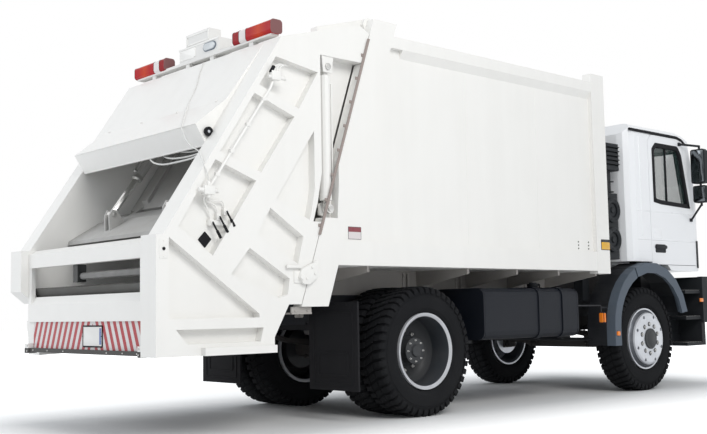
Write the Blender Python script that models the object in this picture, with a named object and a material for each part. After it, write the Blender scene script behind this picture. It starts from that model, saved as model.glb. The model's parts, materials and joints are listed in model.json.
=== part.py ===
"""Rear-loading refuse truck: a two-axle cab-over chassis, a compactor body and a lifting tailgate.

Metres, +Z up, +Y to the front, +X to the truck's right. Every Y below is measured forward from the
rear axle; one empty then moves the whole truck so that its length is centred on the origin.
"""
import math

import bmesh
import bpy
from mathutils import Matrix, Vector

for old in list(bpy.data.objects):
    bpy.data.objects.remove(old, do_unlink=True)

# Fits between pieces
SEAT = 0.0003          # between welded, bolted or pressed pieces
RUN = 0.006            # between a moving piece and its neighbours
PIN_SIDE = 0.0006      # beside an eye or a lug on its pin, and round a rod in its barrel

# Overall
WHEELBASE = 3.70
FRONT_OVERHANG = 1.46
BODY_HALF = 1.25       # half width of the refuse body and the tailgate
FRONT_END = WHEELBASE + FRONT_OVERHANG  # face of the bumper

# Wheels
TYRE_R = 0.60
TYRE_W = 0.31
TYRE_STEPS = 36        # facets round a tyre, one lug for every two
LUG_DEEP = 0.025
BEAD_W = 0.236         # width of the tyre at the rim
RIM_R = 0.352          # rim flange, where the tyre's bead sits
RIM_W = 0.288
RIM_WALL = 0.034
RIM_STEPS = TYRE_STEPS // 2
DRUM_R = 0.205         # brake drum
HUB_R = 0.14
FRONT_HUB_R = 0.127
FRONT_DISC_OUT = 0.20  # front disc's face, outboard of the wheel's middle
DRUM_IN = 0.11         # inner face of the front drum, inboard of the wheel's middle
REAR_DRUM_IN = 0.24    # the same at the rear, from where the twin discs meet
FRONT_WHEEL_X = 1.02
REAR_OUTER_X = 1.045
TWIN_PITCH = 0.345     # between the middles of the twin wheels

# Axles and steering
RAIL_X = 0.44          # outer face of each of the frame's side rails
KINGPIN_X = FRONT_WHEEL_X - 0.19
KINGPIN_R = 0.055
AXLE_BEAM_H = 0.12
AXLE_TUBE_R = 0.09
DIFF_R = 0.21
SPRING_X = RAIL_X - 0.02
SPRING_W = 0.08
SPRING_H = 0.07
FRONT_SPRING_HALF = 0.72
REAR_SPRING_HALF = 0.76
SPRING_DROP = 0.12     # how far a spring's middle hangs below its eyes

# Chassis frame
RAIL_FLANGE = 0.08
RAIL_WALL = 0.012
RAIL_BASE = 0.86
RAIL_H = 0.27
RAIL_TOP = RAIL_BASE + RAIL_H
FRAME_REAR = -1.40
FRAME_FRONT = FRONT_END - 0.22
CROSS_WALL = 0.10

# Refuse body
SUBFRAME_H = 0.24
FLOOR_BASE = RAIL_TOP + SUBFRAME_H  # underside of the body's sills
SILL_H = 0.21
SILL_POST_BASE = FLOOR_BASE - 0.03
FLOOR_T = 0.08
BODY_FRONT = FRONT_END - 2.24
POST_L = 0.24
BODY_TOP = 3.48
POST_TOP = BODY_TOP + 0.10
TOP_RAIL_H = 0.11      # above its sloped band
TOP_RAIL_SLOPE = 0.09
PANEL_IN = 0.05        # how far the side panel lies behind the rails
WALL_T = 0.11          # from the rails' face to the body's inside
ROOF_T = 0.05
FRONT_T = 0.06

# Joint between the body and the tailgate: a straight seal, leaning forward
SEAL_FOOT = (-1.52, 1.04)
SEAL_HEAD = (-0.70, 3.45)
SEAL_GAP = 0.008
FRAME_DEPTH = 0.29     # of the slanted rear frame, along Y
FRAME_BASE = 1.02
FRAME_TOP = 3.60

# Tailgate and its hinge
HINGE = (-0.62, 3.56)
HINGE_R = 0.07
HINGE_X = BODY_HALF - 0.1745  # middle of the tailgate's hinge arms
HINGE_ARM_W = 0.09
SIDE_IN = BODY_HALF - 0.22    # inner face of the tailgate's side frames
POCKET_X = BODY_HALF - 0.08   # floor of the side frames' recesses
SLANT_FOOT = (-2.83, 1.57)
SLANT_HEAD = (-1.70, 3.26)
TAIL_BASE = 0.66
HOOD_T = 0.035
TUB_T = 0.03

# Lift cylinders
LIFT_X = BODY_HALF - 0.06
LIFT_TOP = (-1.19, 3.08)
LIFT_BASE = (-1.17, 1.85)
LIFT_BARREL_R = 0.05
LIFT_ROD_R = 0.028
LIFT_BARREL_END = 1.93
LIFT_EYE_W = 0.07
EAR_T = 0.015

# Packer: a carriage that slides on the slanted side frames, and its hinged blade
BLADE_HINGE = (-1.86, 1.90)
BLADE_R = 0.66         # hinge to tip
BLADE_LUG_X = (0.18 - SIDE_IN, -0.15, 0.15, SIDE_IN - 0.18)
BLADE_LUG_W = 0.08
BLADE_ANGLE = 204.0    # at rest, degrees from +Y towards +Z
CARRIAGE_L = 1.15
CARRIAGE_T = 0.10
CARRIAGE_DOWN = 0.50   # travel towards the tub
RAM_X = 0.50
RAM_TOP = (-1.58, 2.85)
RAM_FOOT = (-2.30, 1.88)
RAM_BARREL_R = 0.045
RAM_ROD_R = 0.025
RAM_EYE_W = 0.06
RAM_BARREL_L = 0.78

# Ejector
EJECTOR_T = 0.06
EJECTOR_Y = BODY_FRONT - 0.37

# Cab
CAB_HALF = 1.15
CAB_FRONT = FRONT_END - 0.06
CAB_REAR = BODY_FRONT + 0.58
CAB_RISE = 0.27        # from the rails up to the cab's chin
CAB_BASE = RAIL_TOP + CAB_RISE
CAB_FLOOR = CAB_BASE + 0.10
CAB_ROOF = 3.15
CAB_WALL = 0.05
SEAT_X = CAB_HALF - 0.60
SCREEN_FOOT = (CAB_FRONT - 0.04, 2.15)
SCREEN_HEAD = (CAB_FRONT - 0.23, 2.98)
SCREEN_HALF = CAB_HALF - 0.17
GLASS_T = 0.012
DOOR_REAR = CAB_REAR + 0.45
DOOR_FRONT = CAB_FRONT - 0.15
DOOR_BASE = CAB_BASE + 0.07
DOOR_TOP = 3.04
DOOR_T = 0.05
WINDOW_REAR = DOOR_REAR + 0.08
WINDOW_SILL = 2.20
WINDOW_TOP = DOOR_TOP - 0.09
MIRROR_X = CAB_HALF + 0.18  # pole that carries both mirrors of a side
MIRROR_Y = DOOR_FRONT - 0.12
MIRROR_TUBE_R = 0.014

# Front wheel arch, an ellipse over each front wheel
ARCH_Y = WHEELBASE + 0.05
ARCH_Z = 0.75
ARCH_A = 0.75
ARCH_B = 0.70
ARCH_T = 0.035
ARCH_IN = FRONT_WHEEL_X - 0.14
ARCH_OUT = FRONT_WHEEL_X + 0.23
ARCH_SPLIT = ARCH_Y - 0.32      # behind this the mudguard is on the chassis, ahead of it on the cab
LIP_W = 0.035
LIP_DEEP = 0.085

# Fuel tank, right side
TANK_REAR = 0.81
TANK_FRONT = WHEELBASE - 1.34
TANK_TOP = RAIL_TOP + 0.05
TANK_BASE = TANK_TOP - 0.51
TANK_IN = RAIL_X + 0.08
TANK_OUT = BODY_HALF - 0.05
TANK_ROUND = 0.08
STRAP_PROUD = 0.012
STRAP_W = 0.07

# Worked out from the sizes above
AXLE_Z = TYRE_R * math.cos(math.pi / TYRE_STEPS)  # a facet of each tyre lies on the ground
FRONT_Y = WHEELBASE
SEAL_SLOPE = (SEAL_HEAD[0] - SEAL_FOOT[0]) / (SEAL_HEAD[1] - SEAL_FOOT[1])
SLANT_L = math.dist(SLANT_FOOT, SLANT_HEAD)
SLANT = Vector(((SLANT_HEAD[0] - SLANT_FOOT[0]) / SLANT_L, (SLANT_HEAD[1] - SLANT_FOOT[1]) / SLANT_L))
MOUNT_X = REAR_OUTER_X - TWIN_PITCH / 2  # plane where the twin discs meet
CAB_HINGE = (CAB_FRONT - 0.05, CAB_BASE - 0.01)
REAR_END = BLADE_HINGE[0] - BLADE_R - 0.39  # back of the tailgate's corner posts, behind the blade's sweep


def seal_y(z, ahead=0.0):
    """Y of the seal's line at a height, moved forward by ahead."""
    return SEAL_FOOT[0] + SEAL_SLOPE * (z - SEAL_FOOT[1]) + ahead


# Materials, as seen on the truck
COLOURS = {
    # name: (red, green, blue, roughness, metallic)
    "body_white": (0.86, 0.84, 0.80, 0.45, 0.0),
    "cab_white": (0.84, 0.86, 0.90, 0.30, 0.0),
    "hopper_grey": (0.55, 0.55, 0.54, 0.60, 0.0),
    "frame_black": (0.02, 0.023, 0.03, 0.60, 0.0),
    "subframe_grey": (0.45, 0.44, 0.42, 0.55, 0.0),
    "tank_black": (0.015, 0.018, 0.03, 0.40, 0.0),
    "plastic_black": (0.02, 0.02, 0.022, 0.55, 0.0),
    "fender_grey": (0.20, 0.23, 0.27, 0.50, 0.0),
    "tyre": (0.022, 0.022, 0.024, 0.85, 0.0),
    "rim_silver": (0.60, 0.61, 0.62, 0.35, 0.6),
    "rim_dark": (0.10, 0.11, 0.12, 0.55, 0.2),
    "cast_iron": (0.06, 0.06, 0.065, 0.70, 0.3),
    "chrome": (0.75, 0.75, 0.75, 0.15, 1.0),
    "glass": (0.10, 0.13, 0.12, 0.05, 0.0),
    "seat_cloth": (0.05, 0.055, 0.07, 0.90, 0.0),
    "stripe_red": (0.75, 0.05, 0.06, 0.40, 0.0),
    "lamp_red": (0.70, 0.03, 0.03, 0.25, 0.0),
}


def material(name):
    found = bpy.data.materials.get(name)
    if found:
        return found
    made = bpy.data.materials.new(name)
    made.use_nodes = True
    shader = made.node_tree.nodes["Principled BSDF"]
    red, green, blue, rough, metal = COLOURS[name]
    shader.inputs["Base Color"].default_value = (red, green, blue, 1.0)
    shader.inputs["Roughness"].default_value = rough
    shader.inputs["Metallic"].default_value = metal
    made.diffuse_color = (red, green, blue, 1.0)
    return made


# Shapes: each of these returns one closed bmesh
def box(x, y, z):
    """A block between pairs of limits."""
    bm = bmesh.new()
    bmesh.ops.create_cube(bm, size=1.0)
    size = Matrix.Diagonal((x[1] - x[0], y[1] - y[0], z[1] - z[0], 1.0))
    middle = Matrix.Translation(((x[0] + x[1]) / 2, (y[0] + y[1]) / 2, (z[0] + z[1]) / 2))
    bmesh.ops.transform(bm, matrix=middle @ size, verts=bm.verts)
    return bm


def prism(axis, outline, span):
    """An outline extruded along an axis. Its points are (y, z) for X, (x, z) for Y, (x, y) for Z."""
    place = {
        "X": lambda a, b: (span[0], a, b),
        "Y": lambda a, b: (a, span[0], b),
        "Z": lambda a, b: (a, b, span[0]),
    }[axis]
    along = {"X": (1, 0, 0), "Y": (0, 1, 0), "Z": (0, 0, 1)}[axis]
    bm = bmesh.new()
    face = bm.faces.new([bm.verts.new(place(a, b)) for a, b in outline])
    made = bmesh.ops.extrude_face_region(bm, geom=[face])
    moved = [item for item in made["geom"] if isinstance(item, bmesh.types.BMVert)]
    bmesh.ops.translate(bm, verts=moved, vec=Vector(along) * (span[1] - span[0]))
    bmesh.ops.recalc_face_normals(bm, faces=bm.faces)
    return bm


def turned(profile, centre, steps, start=math.pi - math.pi / TYRE_STEPS):
    """A profile of (distance along X, radius) points turned about X through centre.

    The profile is one closed loop, or runs from the axis back to the axis. Its first copy is at
    start, which puts the corners of a rim beside corners of its tyre.
    """
    bm = bmesh.new()
    verts = [bm.verts.new((along, radius * math.sin(start), radius * math.cos(start)))
             for along, radius in profile]
    edges = [bm.edges.new(pair) for pair in zip(verts, verts[1:])]
    if profile[0][1] > 0:
        edges.append(bm.edges.new((verts[-1], verts[0])))
    bmesh.ops.spin(bm, geom=verts + edges, cent=(0, 0, 0), axis=(1, 0, 0),
                   angle=2 * math.pi, steps=steps, use_merge=True)
    bmesh.ops.remove_doubles(bm, verts=bm.verts, dist=1e-6)
    bmesh.ops.translate(bm, verts=bm.verts, vec=centre)
    bmesh.ops.recalc_face_normals(bm, faces=bm.faces)
    return bm


def rod(start, end, radius, sides=8):
    """A round bar between two points."""
    start, end = Vector(start), Vector(end)
    bm = bmesh.new()
    bmesh.ops.create_cone(bm, cap_ends=True, segments=sides, radius1=radius, radius2=radius,
                          depth=(end - start).length)
    turn = (end - start).to_track_quat("Z", "Y").to_matrix().to_4x4()
    bmesh.ops.transform(bm, matrix=Matrix.Translation((start + end) / 2) @ turn, verts=bm.verts)
    return bm


def eye(x, at, radius, sides=8):
    """A round lug across X: x is its pair of limits, at its (y, z)."""
    return rod((x[0], *at), (x[1], *at), radius, sides)


def rounded(x, y, radius, steps=3):
    """Outline of a rectangle with round corners."""
    points = []
    for corner, (cx, cy) in enumerate(((x[1], y[1]), (x[0], y[1]), (x[0], y[0]), (x[1], y[0]))):
        inward_x = -radius if cx == x[1] else radius
        inward_y = -radius if cy == y[1] else radius
        for step in range(steps + 1):
            angle = math.pi / 2 * (corner + step / steps)
            points.append((cx + inward_x + radius * math.cos(angle),
                           cy + inward_y + radius * math.sin(angle)))
    return points


def mirrored(bm):
    """A copy on the truck's other side."""
    other = bm.copy()
    bmesh.ops.transform(other, matrix=Matrix.Scale(-1, 4, (1, 0, 0)), verts=other.verts)
    bmesh.ops.reverse_faces(other, faces=other.faces)
    return other


def as_object(bm, name):
    mesh = bpy.data.meshes.new(name)
    bm.to_mesh(mesh)
    made = bpy.data.objects.new(name, mesh)
    bpy.context.scene.collection.objects.link(made)
    return made


def solid(shapes, cuts=(), within=()):
    """Shapes fused into one body, less the cuts, kept within other shapes. Returns a bmesh."""
    base = as_object(shapes[0], "base")
    tools = []
    steps = [("UNION", shape) for shape in shapes[1:]]
    steps += [("DIFFERENCE", shape) for shape in cuts]
    steps += [("INTERSECT", shape) for shape in within]
    for operation, shape in steps:
        tool = as_object(shape, "tool")
        tools.append(tool)
        boolean = base.modifiers.new(operation, "BOOLEAN")
        boolean.operation = operation
        boolean.solver = "EXACT"
        boolean.object = tool
    bpy.context.view_layer.update()
    evaluated = base.evaluated_get(bpy.context.evaluated_depsgraph_get())
    mesh = bpy.data.meshes.new_from_object(evaluated)
    result = bmesh.new()
    result.from_mesh(mesh)
    for helper in [base] + tools:
        bpy.data.objects.remove(helper, do_unlink=True)
    bpy.data.meshes.remove(mesh)
    bmesh.ops.remove_doubles(result, verts=result.verts, dist=1e-6)
    return result


truck = bpy.data.objects.new("truck", None)
truck.location = (0.0, -(FRONT_END + REAR_END) / 2, 0.0)
bpy.context.scene.collection.objects.link(truck)


def place(name, bm, colour, origin=(0.0, 0.0, 0.0), smooth=None):
    """Makes a sub-part. Its origin is the given point, on its joint's axis where it moves."""
    bmesh.ops.translate(bm, verts=bm.verts, vec=-Vector(origin))
    made = as_object(bm, name)
    made.data.materials.append(material(colour))
    if smooth:
        made.data.shade_smooth()
        made.data.set_sharp_from_angle(angle=math.radians(smooth))
    made.parent = truck
    made.location = origin
    return made


def both_sides(name, bm, colour, origin=(0.0, 0.0, 0.0), smooth=None):
    """A sub-part for the right side and its mirror image for the left."""
    left_origin = (-origin[0], origin[1], origin[2])
    place(f"{name}_left", mirrored(bm), colour, left_origin, smooth)
    place(f"{name}_right", bm, colour, origin, smooth)


def tyre(name, x):
    """A lugged tyre. Crown and shoulder step in at every second facet, which makes the lugs."""
    half = BEAD_W / 2
    wide = TYRE_W / 2
    rows = (
        # (along the axle, radius at a lug, radius between lugs)
        (-half, RIM_R, RIM_R),
        (-wide, RIM_R + 0.09, RIM_R + 0.09),
        (-wide + 0.008, TYRE_R - 0.045, TYRE_R - 0.065),
        (-wide + 0.04, TYRE_R - 0.002, TYRE_R - LUG_DEEP),
        (0.0, TYRE_R, TYRE_R),
        (wide - 0.04, TYRE_R - 0.002, TYRE_R - LUG_DEEP),
        (wide - 0.008, TYRE_R - 0.045, TYRE_R - 0.065),
        (wide, RIM_R + 0.09, RIM_R + 0.09),
        (half, RIM_R, RIM_R),
    )
    bm = bmesh.new()
    rings = []
    for step in range(TYRE_STEPS):
        angle = 2 * math.pi * (step + 0.5) / TYRE_STEPS
        ring = []
        for along, lug, between in rows:
            radius = between if step % 2 else lug
            ring.append(bm.verts.new((along, radius * math.sin(angle), -radius * math.cos(angle))))
        rings.append(ring)
    for ring, after in zip(rings, rings[1:] + rings[:1]):
        for row in range(len(rows)):
            bm.faces.new((ring[row - 1], ring[row], after[row], after[row - 1]))
    bmesh.ops.recalc_face_normals(bm, faces=bm.faces)
    y = FRONT_Y if "front" in name else 0.0
    bmesh.ops.translate(bm, verts=bm.verts, vec=(x, y, AXLE_Z))
    return place(name, bm, "tyre", (x, y, AXLE_Z), smooth=25)


def front_rims():
    half = RIM_W / 2
    inner = RIM_R - RIM_WALL
    seat = RIM_R - SEAT
    profile = (
        # (outboard from the wheel's middle, radius)
        (-DRUM_IN, 0.0), (-DRUM_IN, DRUM_R), (0.14, DRUM_R), (0.13, inner - 0.012),
        (-half, inner), (-half, seat), (half, seat), (half, inner),
        (FRONT_DISC_OUT, 0.288), (FRONT_DISC_OUT, FRONT_HUB_R), (FRONT_DISC_OUT + 0.03, FRONT_HUB_R - 0.01),
        (FRONT_DISC_OUT + 0.03, 0.0),
    )
    centre = (FRONT_WHEEL_X, FRONT_Y, AXLE_Z)
    both_sides("front_rim", turned(profile, centre, RIM_STEPS), "rim_silver", centre, smooth=35)


def rear_rims():
    """Both rims of a twin pair, their discs bolted back to back, with the hub and brake drum."""
    inner = RIM_R - RIM_WALL
    seat = RIM_R - SEAT
    near = (TWIN_PITCH - RIM_W) / 2
    far = near + RIM_W
    outer_side = [(0.20, 0.0), (0.20, HUB_R - 0.02), (0.17, HUB_R), (0.012, HUB_R), (0.012, 0.22),
                  (0.10, inner), (far, inner), (far, seat), (near, seat)]
    inner_side = [(-near, seat), (-far, seat), (-far, inner), (-0.10, inner), (-0.03, DRUM_R),
                  (-REAR_DRUM_IN, DRUM_R), (-REAR_DRUM_IN, 0.0)]
    profile = outer_side + [(0.0, seat - 0.05)] + inner_side
    centre = (MOUNT_X, 0.0, AXLE_Z)
    both_sides("rear_rims", turned(profile, centre, RIM_STEPS), "rim_dark", centre, smooth=35)


def wheels():
    for side, sign in (("left", -1), ("right", 1)):
        tyre(f"front_tyre_{side}", sign * FRONT_WHEEL_X)
        tyre(f"rear_tyre_outer_{side}", sign * REAR_OUTER_X)
        tyre(f"rear_tyre_inner_{side}", sign * (REAR_OUTER_X - TWIN_PITCH))
    front_rims()
    rear_rims()


def spring(y, half, eye_z):
    """A leaf spring on the right side: a sagging bundle with an eye at each end."""
    steps = 4
    top, under = [], []
    for step in range(steps + 1):
        along = -1 + 2 * step / steps
        z = eye_z - SPRING_DROP * (1 - along * along)
        thick = SPRING_H * (0.35 + 0.65 * (1 - abs(along)))
        top.append((y + along * half, z))
        under.append((y + along * half, z - thick))
    x = (SPRING_X - SPRING_W / 2, SPRING_X + SPRING_W / 2)
    eyes = [eye(x, (y + end * half, eye_z - 0.01), 0.035, 8) for end in (-1, 1)]
    return [prism("X", top + under[::-1], x)] + eyes


def spring_hangers(y, half, eye_z):
    """Brackets under the right rail that hold a spring's eyes."""
    x = (SPRING_X - SPRING_W / 2, SPRING_X + SPRING_W / 2)
    made = []
    for end in (-1, 1):
        at = y + end * half
        outline = [(at - 0.06, RAIL_BASE + 0.02), (at - 0.04, eye_z + 0.025 + SEAT),
                   (at + 0.04, eye_z + 0.025 + SEAT), (at + 0.06, RAIL_BASE + 0.02)]
        made.append(prism("X", outline, x))
    return made


FRONT_EYE_Z = RAIL_BASE - 0.06
REAR_EYE_Z = RAIL_BASE - 0.05


def axles():
    top = AXLE_Z + AXLE_BEAM_H / 2
    low = AXLE_Z - AXLE_BEAM_H / 2
    seat_z = FRONT_EYE_Z - SPRING_DROP - SPRING_H
    half = [(KINGPIN_X, low), (SPRING_X + 0.18, low), (SPRING_X + 0.06, seat_z - AXLE_BEAM_H),
            (0.0, seat_z - AXLE_BEAM_H)]
    over = [(0.0, seat_z - 0.02), (SPRING_X - 0.06, seat_z - 0.02), (SPRING_X - 0.06, seat_z + 0.01),
            (SPRING_X + 0.08, seat_z + 0.01), (SPRING_X + 0.20, top), (KINGPIN_X, top)]
    y = (FRONT_Y - 0.05, FRONT_Y + 0.05)
    arm = prism("Y", half + over, y)
    lug = rod((KINGPIN_X, FRONT_Y, low), (KINGPIN_X, FRONT_Y, top), KINGPIN_R, 10)
    right = [arm, lug] + spring(FRONT_Y, FRONT_SPRING_HALF, FRONT_EYE_Z)
    trim = box((KINGPIN_X, KINGPIN_X + 0.2), (FRONT_Y - 0.2, FRONT_Y + 0.2), (0.3, 0.9))
    right = [solid(right[:1], [trim])] + right[1:]
    left = [mirrored(shape) for shape in right]
    middle = box((-0.1, 0.1), y, (seat_z - AXLE_BEAM_H, seat_z - 0.02))
    place("front_axle", solid(right + left + [middle]), "cast_iron")

    end = MOUNT_X - REAR_DRUM_IN - PIN_SIDE
    tube = [(-end, 0.0), (-end, AXLE_TUBE_R), (-0.20, AXLE_TUBE_R + 0.015), (-0.10, DIFF_R),
            (0.10, DIFF_R), (0.20, AXLE_TUBE_R + 0.015), (end, AXLE_TUBE_R), (end, 0.0)]
    casing = turned(tube, (0, 0, AXLE_Z), 12)
    nose = rod((0, 0.1, AXLE_Z), (0, 0.36, AXLE_Z + 0.02), 0.11)
    shaft = rod((0, 0.3, AXLE_Z + 0.02), (0, WHEELBASE - 1.37, RAIL_BASE - 0.02), 0.05)
    springs = spring(0.0, REAR_SPRING_HALF, REAR_EYE_Z)
    pad = box((SPRING_X - 0.05, SPRING_X + 0.05), (-0.09, 0.09),
              (AXLE_Z, REAR_EYE_Z - SPRING_DROP - 0.02))
    right = springs + [pad]
    left = [mirrored(shape) for shape in right]
    place("rear_axle", solid([casing, nose, shaft] + right + left), "cast_iron")


def knuckles():
    """Steering knuckles: two lugs on the kingpin, and the flange that the hub turns on."""
    top = AXLE_Z + AXLE_BEAM_H / 2
    low = AXLE_Z - AXLE_BEAM_H / 2
    face = FRONT_WHEEL_X - DRUM_IN - PIN_SIDE
    web = box((face - 0.016, face), (FRONT_Y - 0.08, FRONT_Y + 0.08), (low - 0.07, top + 0.07))
    lugs = [rod((KINGPIN_X, FRONT_Y, top + PIN_SIDE), (KINGPIN_X, FRONT_Y, top + 0.06), KINGPIN_R, 10),
            rod((KINGPIN_X, FRONT_Y, low - 0.06), (KINGPIN_X, FRONT_Y, low - PIN_SIDE), KINGPIN_R, 10)]
    links = [box((KINGPIN_X, face - 0.005), (FRONT_Y - 0.045, FRONT_Y + 0.045), z)
             for z in ((top + PIN_SIDE, top + 0.06), (low - 0.06, low - PIN_SIDE))]
    both_sides("knuckle", solid([web] + lugs + links), "cast_iron", (KINGPIN_X, FRONT_Y, AXLE_Z))


def chassis():
    tip, web = RAIL_X - RAIL_FLANGE, RAIL_X - RAIL_WALL
    channel = [(RAIL_X, RAIL_BASE), (RAIL_X, RAIL_TOP), (tip, RAIL_TOP), (tip, RAIL_TOP - RAIL_WALL),
               (web, RAIL_TOP - RAIL_WALL), (web, RAIL_BASE + RAIL_WALL), (tip, RAIL_BASE + RAIL_WALL),
               (tip, RAIL_BASE)]
    right = [prism("Y", channel, (FRAME_REAR, FRAME_FRONT))]
    right += spring_hangers(FRONT_Y, FRONT_SPRING_HALF, FRONT_EYE_Z)
    right += spring_hangers(0.0, REAR_SPRING_HALF, REAR_EYE_Z)
    # the cab's mounts: its tilting pivot at the front and a rest at the back
    mount_x = (tip + 0.003, RAIL_X - 0.003)
    mount_z = RAIL_TOP - RAIL_WALL / 2
    right += [box(mount_x, (FRAME_FRONT - 0.14, CAB_HINGE[0] - 0.005), (mount_z, CAB_BASE - SEAT)),
              box(mount_x, (CAB_REAR + 0.06, CAB_REAR + 0.14), (mount_z, CAB_FLOOR - SEAT))]
    left = [mirrored(shape) for shape in right]
    crosses = [box((-RAIL_X + 0.005, RAIL_X - 0.005), (y, y + CROSS_WALL),
                   (RAIL_BASE + 0.05, RAIL_TOP - 0.05))
               for y in (FRAME_REAR + 0.01, -0.80, 0.75, 2.10)]
    place("chassis_frame", solid(right + left + crosses), "frame_black")


def subframe():
    """Two long members on the rails, and tapered outriggers that carry the body's floor."""
    z = (RAIL_TOP + SEAT, FLOOR_BASE - SEAT)
    x = (RAIL_X - RAIL_FLANGE, RAIL_X)
    y = (-1.27, BODY_FRONT - 0.05)
    beams = [box(x, y, z), box((-x[1], -x[0]), y, z)]
    wing = BODY_HALF - 0.11
    root = z[0] + 0.07
    outline = [(-wing, z[1]), (-wing, z[1] - 0.05), (-RAIL_X, root), (RAIL_X, root),
               (wing, z[1] - 0.05), (wing, z[1])]
    plates = [prism("Y", outline, (at, at + 0.03))
              for at in (-1.08, -0.68, 0.65, 1.40, 2.10, BODY_FRONT - 0.14)]
    place("subframe", solid(beams + plates), "subframe_grey")


def engine():
    half = RAIL_X - RAIL_FLANGE - SEAT
    block = box((-half, half), (WHEELBASE - 0.60, WHEELBASE + 0.92), (RAIL_BASE - 0.16, CAB_BASE - 0.02))
    gearbox = box((-0.20, 0.20), (WHEELBASE - 1.36, WHEELBASE - 0.55), (RAIL_BASE - 0.20, RAIL_TOP - 0.07))
    place("engine_block", solid([block, gearbox]), "cast_iron")


def fuel_tank():
    section = rounded((TANK_IN, TANK_OUT), (TANK_BASE, TANK_TOP), TANK_ROUND)
    tank = prism("Y", section, (TANK_REAR, TANK_FRONT))
    band = rounded((TANK_IN - STRAP_PROUD, TANK_OUT + STRAP_PROUD),
                   (TANK_BASE - STRAP_PROUD, TANK_TOP + STRAP_PROUD), TANK_ROUND + STRAP_PROUD)
    straps = [prism("Y", band, (y - STRAP_W / 2, y + STRAP_W / 2))
              for y in (TANK_FRONT - 0.66, TANK_FRONT - 0.26)]
    arms = [box((RAIL_X + SEAT, TANK_IN + 0.02), (y - 0.04, y + 0.04), (RAIL_BASE, RAIL_TOP - 0.03))
            for y in (TANK_REAR + 0.29, TANK_FRONT - 0.26)]
    place("fuel_tank", solid([tank] + straps + arms), "tank_black", smooth=40)


def battery_box():
    """Left side: the battery box and two air tanks on one bracket."""
    out, near = BODY_HALF - 0.10, RAIL_X + 0.12
    tank_z = RAIL_TOP - 0.23
    case = box((-out, -near), (0.95, 1.65), (RAIL_TOP - 0.41, RAIL_TOP - 0.01))
    lid = box((-out - 0.015, -near + 0.01), (0.94, 1.66), (RAIL_TOP - 0.05, RAIL_TOP - 0.005))
    tank_end = WHEELBASE - 1.0
    shelf = box((-near - 0.42, -RAIL_X - SEAT), (1.60, tank_end + 0.05), (RAIL_TOP - 0.11, RAIL_TOP - 0.08))
    tanks = [rod((x, 1.75, tank_z), (x, tank_end, tank_z), 0.125, 12) for x in (-near - 0.10, -near - 0.36)]
    arm = box((-near - 0.04, -RAIL_X - SEAT), (1.10, 1.50), (tank_z, RAIL_TOP - 0.03))
    hangers = [box((-near - 0.39, -near - 0.06), (y, y + 0.04), (tank_z, RAIL_TOP - 0.09))
               for y in (1.95, tank_end - 0.25)]
    place("battery_and_air_tanks", solid([case, lid, shelf, arm] + tanks + hangers), "frame_black", smooth=40)


def air_intake():
    """Behind the cab: a louvred inlet, its duct and the filter housing with two round bosses."""
    rear, front = BODY_FRONT + 0.10, CAB_REAR - 0.12
    middle = (rear + front) / 2
    out = BODY_HALF - 0.15
    low = FLOOR_BASE + 0.15
    high = low + 1.34
    case = prism("Z", rounded((out - 0.44, out), (rear, front), 0.06), (low, low + 0.76))
    neck = prism("Z", rounded((out - 0.30, out - 0.06), (rear + 0.06, front - 0.04), 0.05),
                 (low + 0.68, high - 0.26))
    head = prism("Z", rounded((out - 0.36, out + 0.02), (rear, front + 0.02), 0.05), (high - 0.31, high))
    slots = [box((out - 0.005, out + 0.10), (rear + 0.04, front - 0.02), (z, z + 0.016)) for z in
             [high - 0.26 + 0.05 * number for number in range(5)]]
    bosses = [eye((out - 0.05, out + 0.025), (middle, low + rise), 0.145, 12) for rise in (0.22, 0.56)]
    dishes = [eye((out + 0.005, out + 0.10), (middle, low + rise), 0.085, 10) for rise in (0.22, 0.56)]
    leg = box((out - 0.38, out - 0.26), (rear - 0.06, rear + 0.06), (RAIL_TOP - 0.08, low + 0.04))
    foot = box((RAIL_X + SEAT, out - 0.30), (rear - 0.055, rear + 0.055), (RAIL_TOP - 0.09, RAIL_TOP - 0.01))
    shapes = [case, neck, head, leg, foot] + bosses
    place("air_intake", solid(shapes, slots + dishes), "plastic_black", smooth=40)


def bumper():
    """Steel bumper with lamp recesses; the cab's steps hang from its ends."""
    outer = rounded((-BODY_HALF + 0.03, BODY_HALF - 0.03), (FRONT_END - 0.46, FRONT_END), 0.10)
    inner = rounded((-BODY_HALF + 0.09, BODY_HALF - 0.09), (FRONT_END - 0.56, FRONT_END - 0.06), 0.06)
    low, high = RAIL_BASE - 0.10, CAB_BASE - 0.07
    shell = solid([prism("Z", outer, (low, high))],
                  [prism("Z", inner, (low - 0.06, high + 0.07)),
                   box((-2, 2), (FRONT_END - 1.16, FRAME_FRONT + SEAT), (low - 0.06, high + 0.07))])
    bolt_pads = [box((x - 0.06, x + 0.06), (FRAME_FRONT + SEAT, FRONT_END - 0.03),
                     (RAIL_BASE + 0.04, RAIL_TOP - 0.03)) for x in (-RAIL_X + 0.04, RAIL_X - 0.04)]
    lamps = [box((x - 0.17, x + 0.17), (FRONT_END - 0.02, FRONT_END + 0.1), (low + 0.16, low + 0.38))
             for x in (0.32 - BODY_HALF, BODY_HALF - 0.32)]
    steps = []
    for sign in (-1, 1):
        x = sorted((sign * (BODY_HALF - 0.39), sign * (BODY_HALF - 0.06)))
        wall = sorted((sign * (BODY_HALF - 0.41), sign * (BODY_HALF - 0.38)))
        tread_y = (FRONT_END - 0.58, FRONT_END - 0.19)
        steps += [box(x, tread_y, (z, z + 0.04)) for z in (low - 0.28, low + 0.04, low + 0.36)]
        steps += [box(wall, tread_y, (low - 0.28, high - 0.03)),
                  box(x, (FRONT_END - 0.22, FRONT_END - 0.14), (low - 0.28, high - 0.03))]
    place("front_bumper", solid([shell] + bolt_pads + steps, lamps), "plastic_black", smooth=40)


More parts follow.
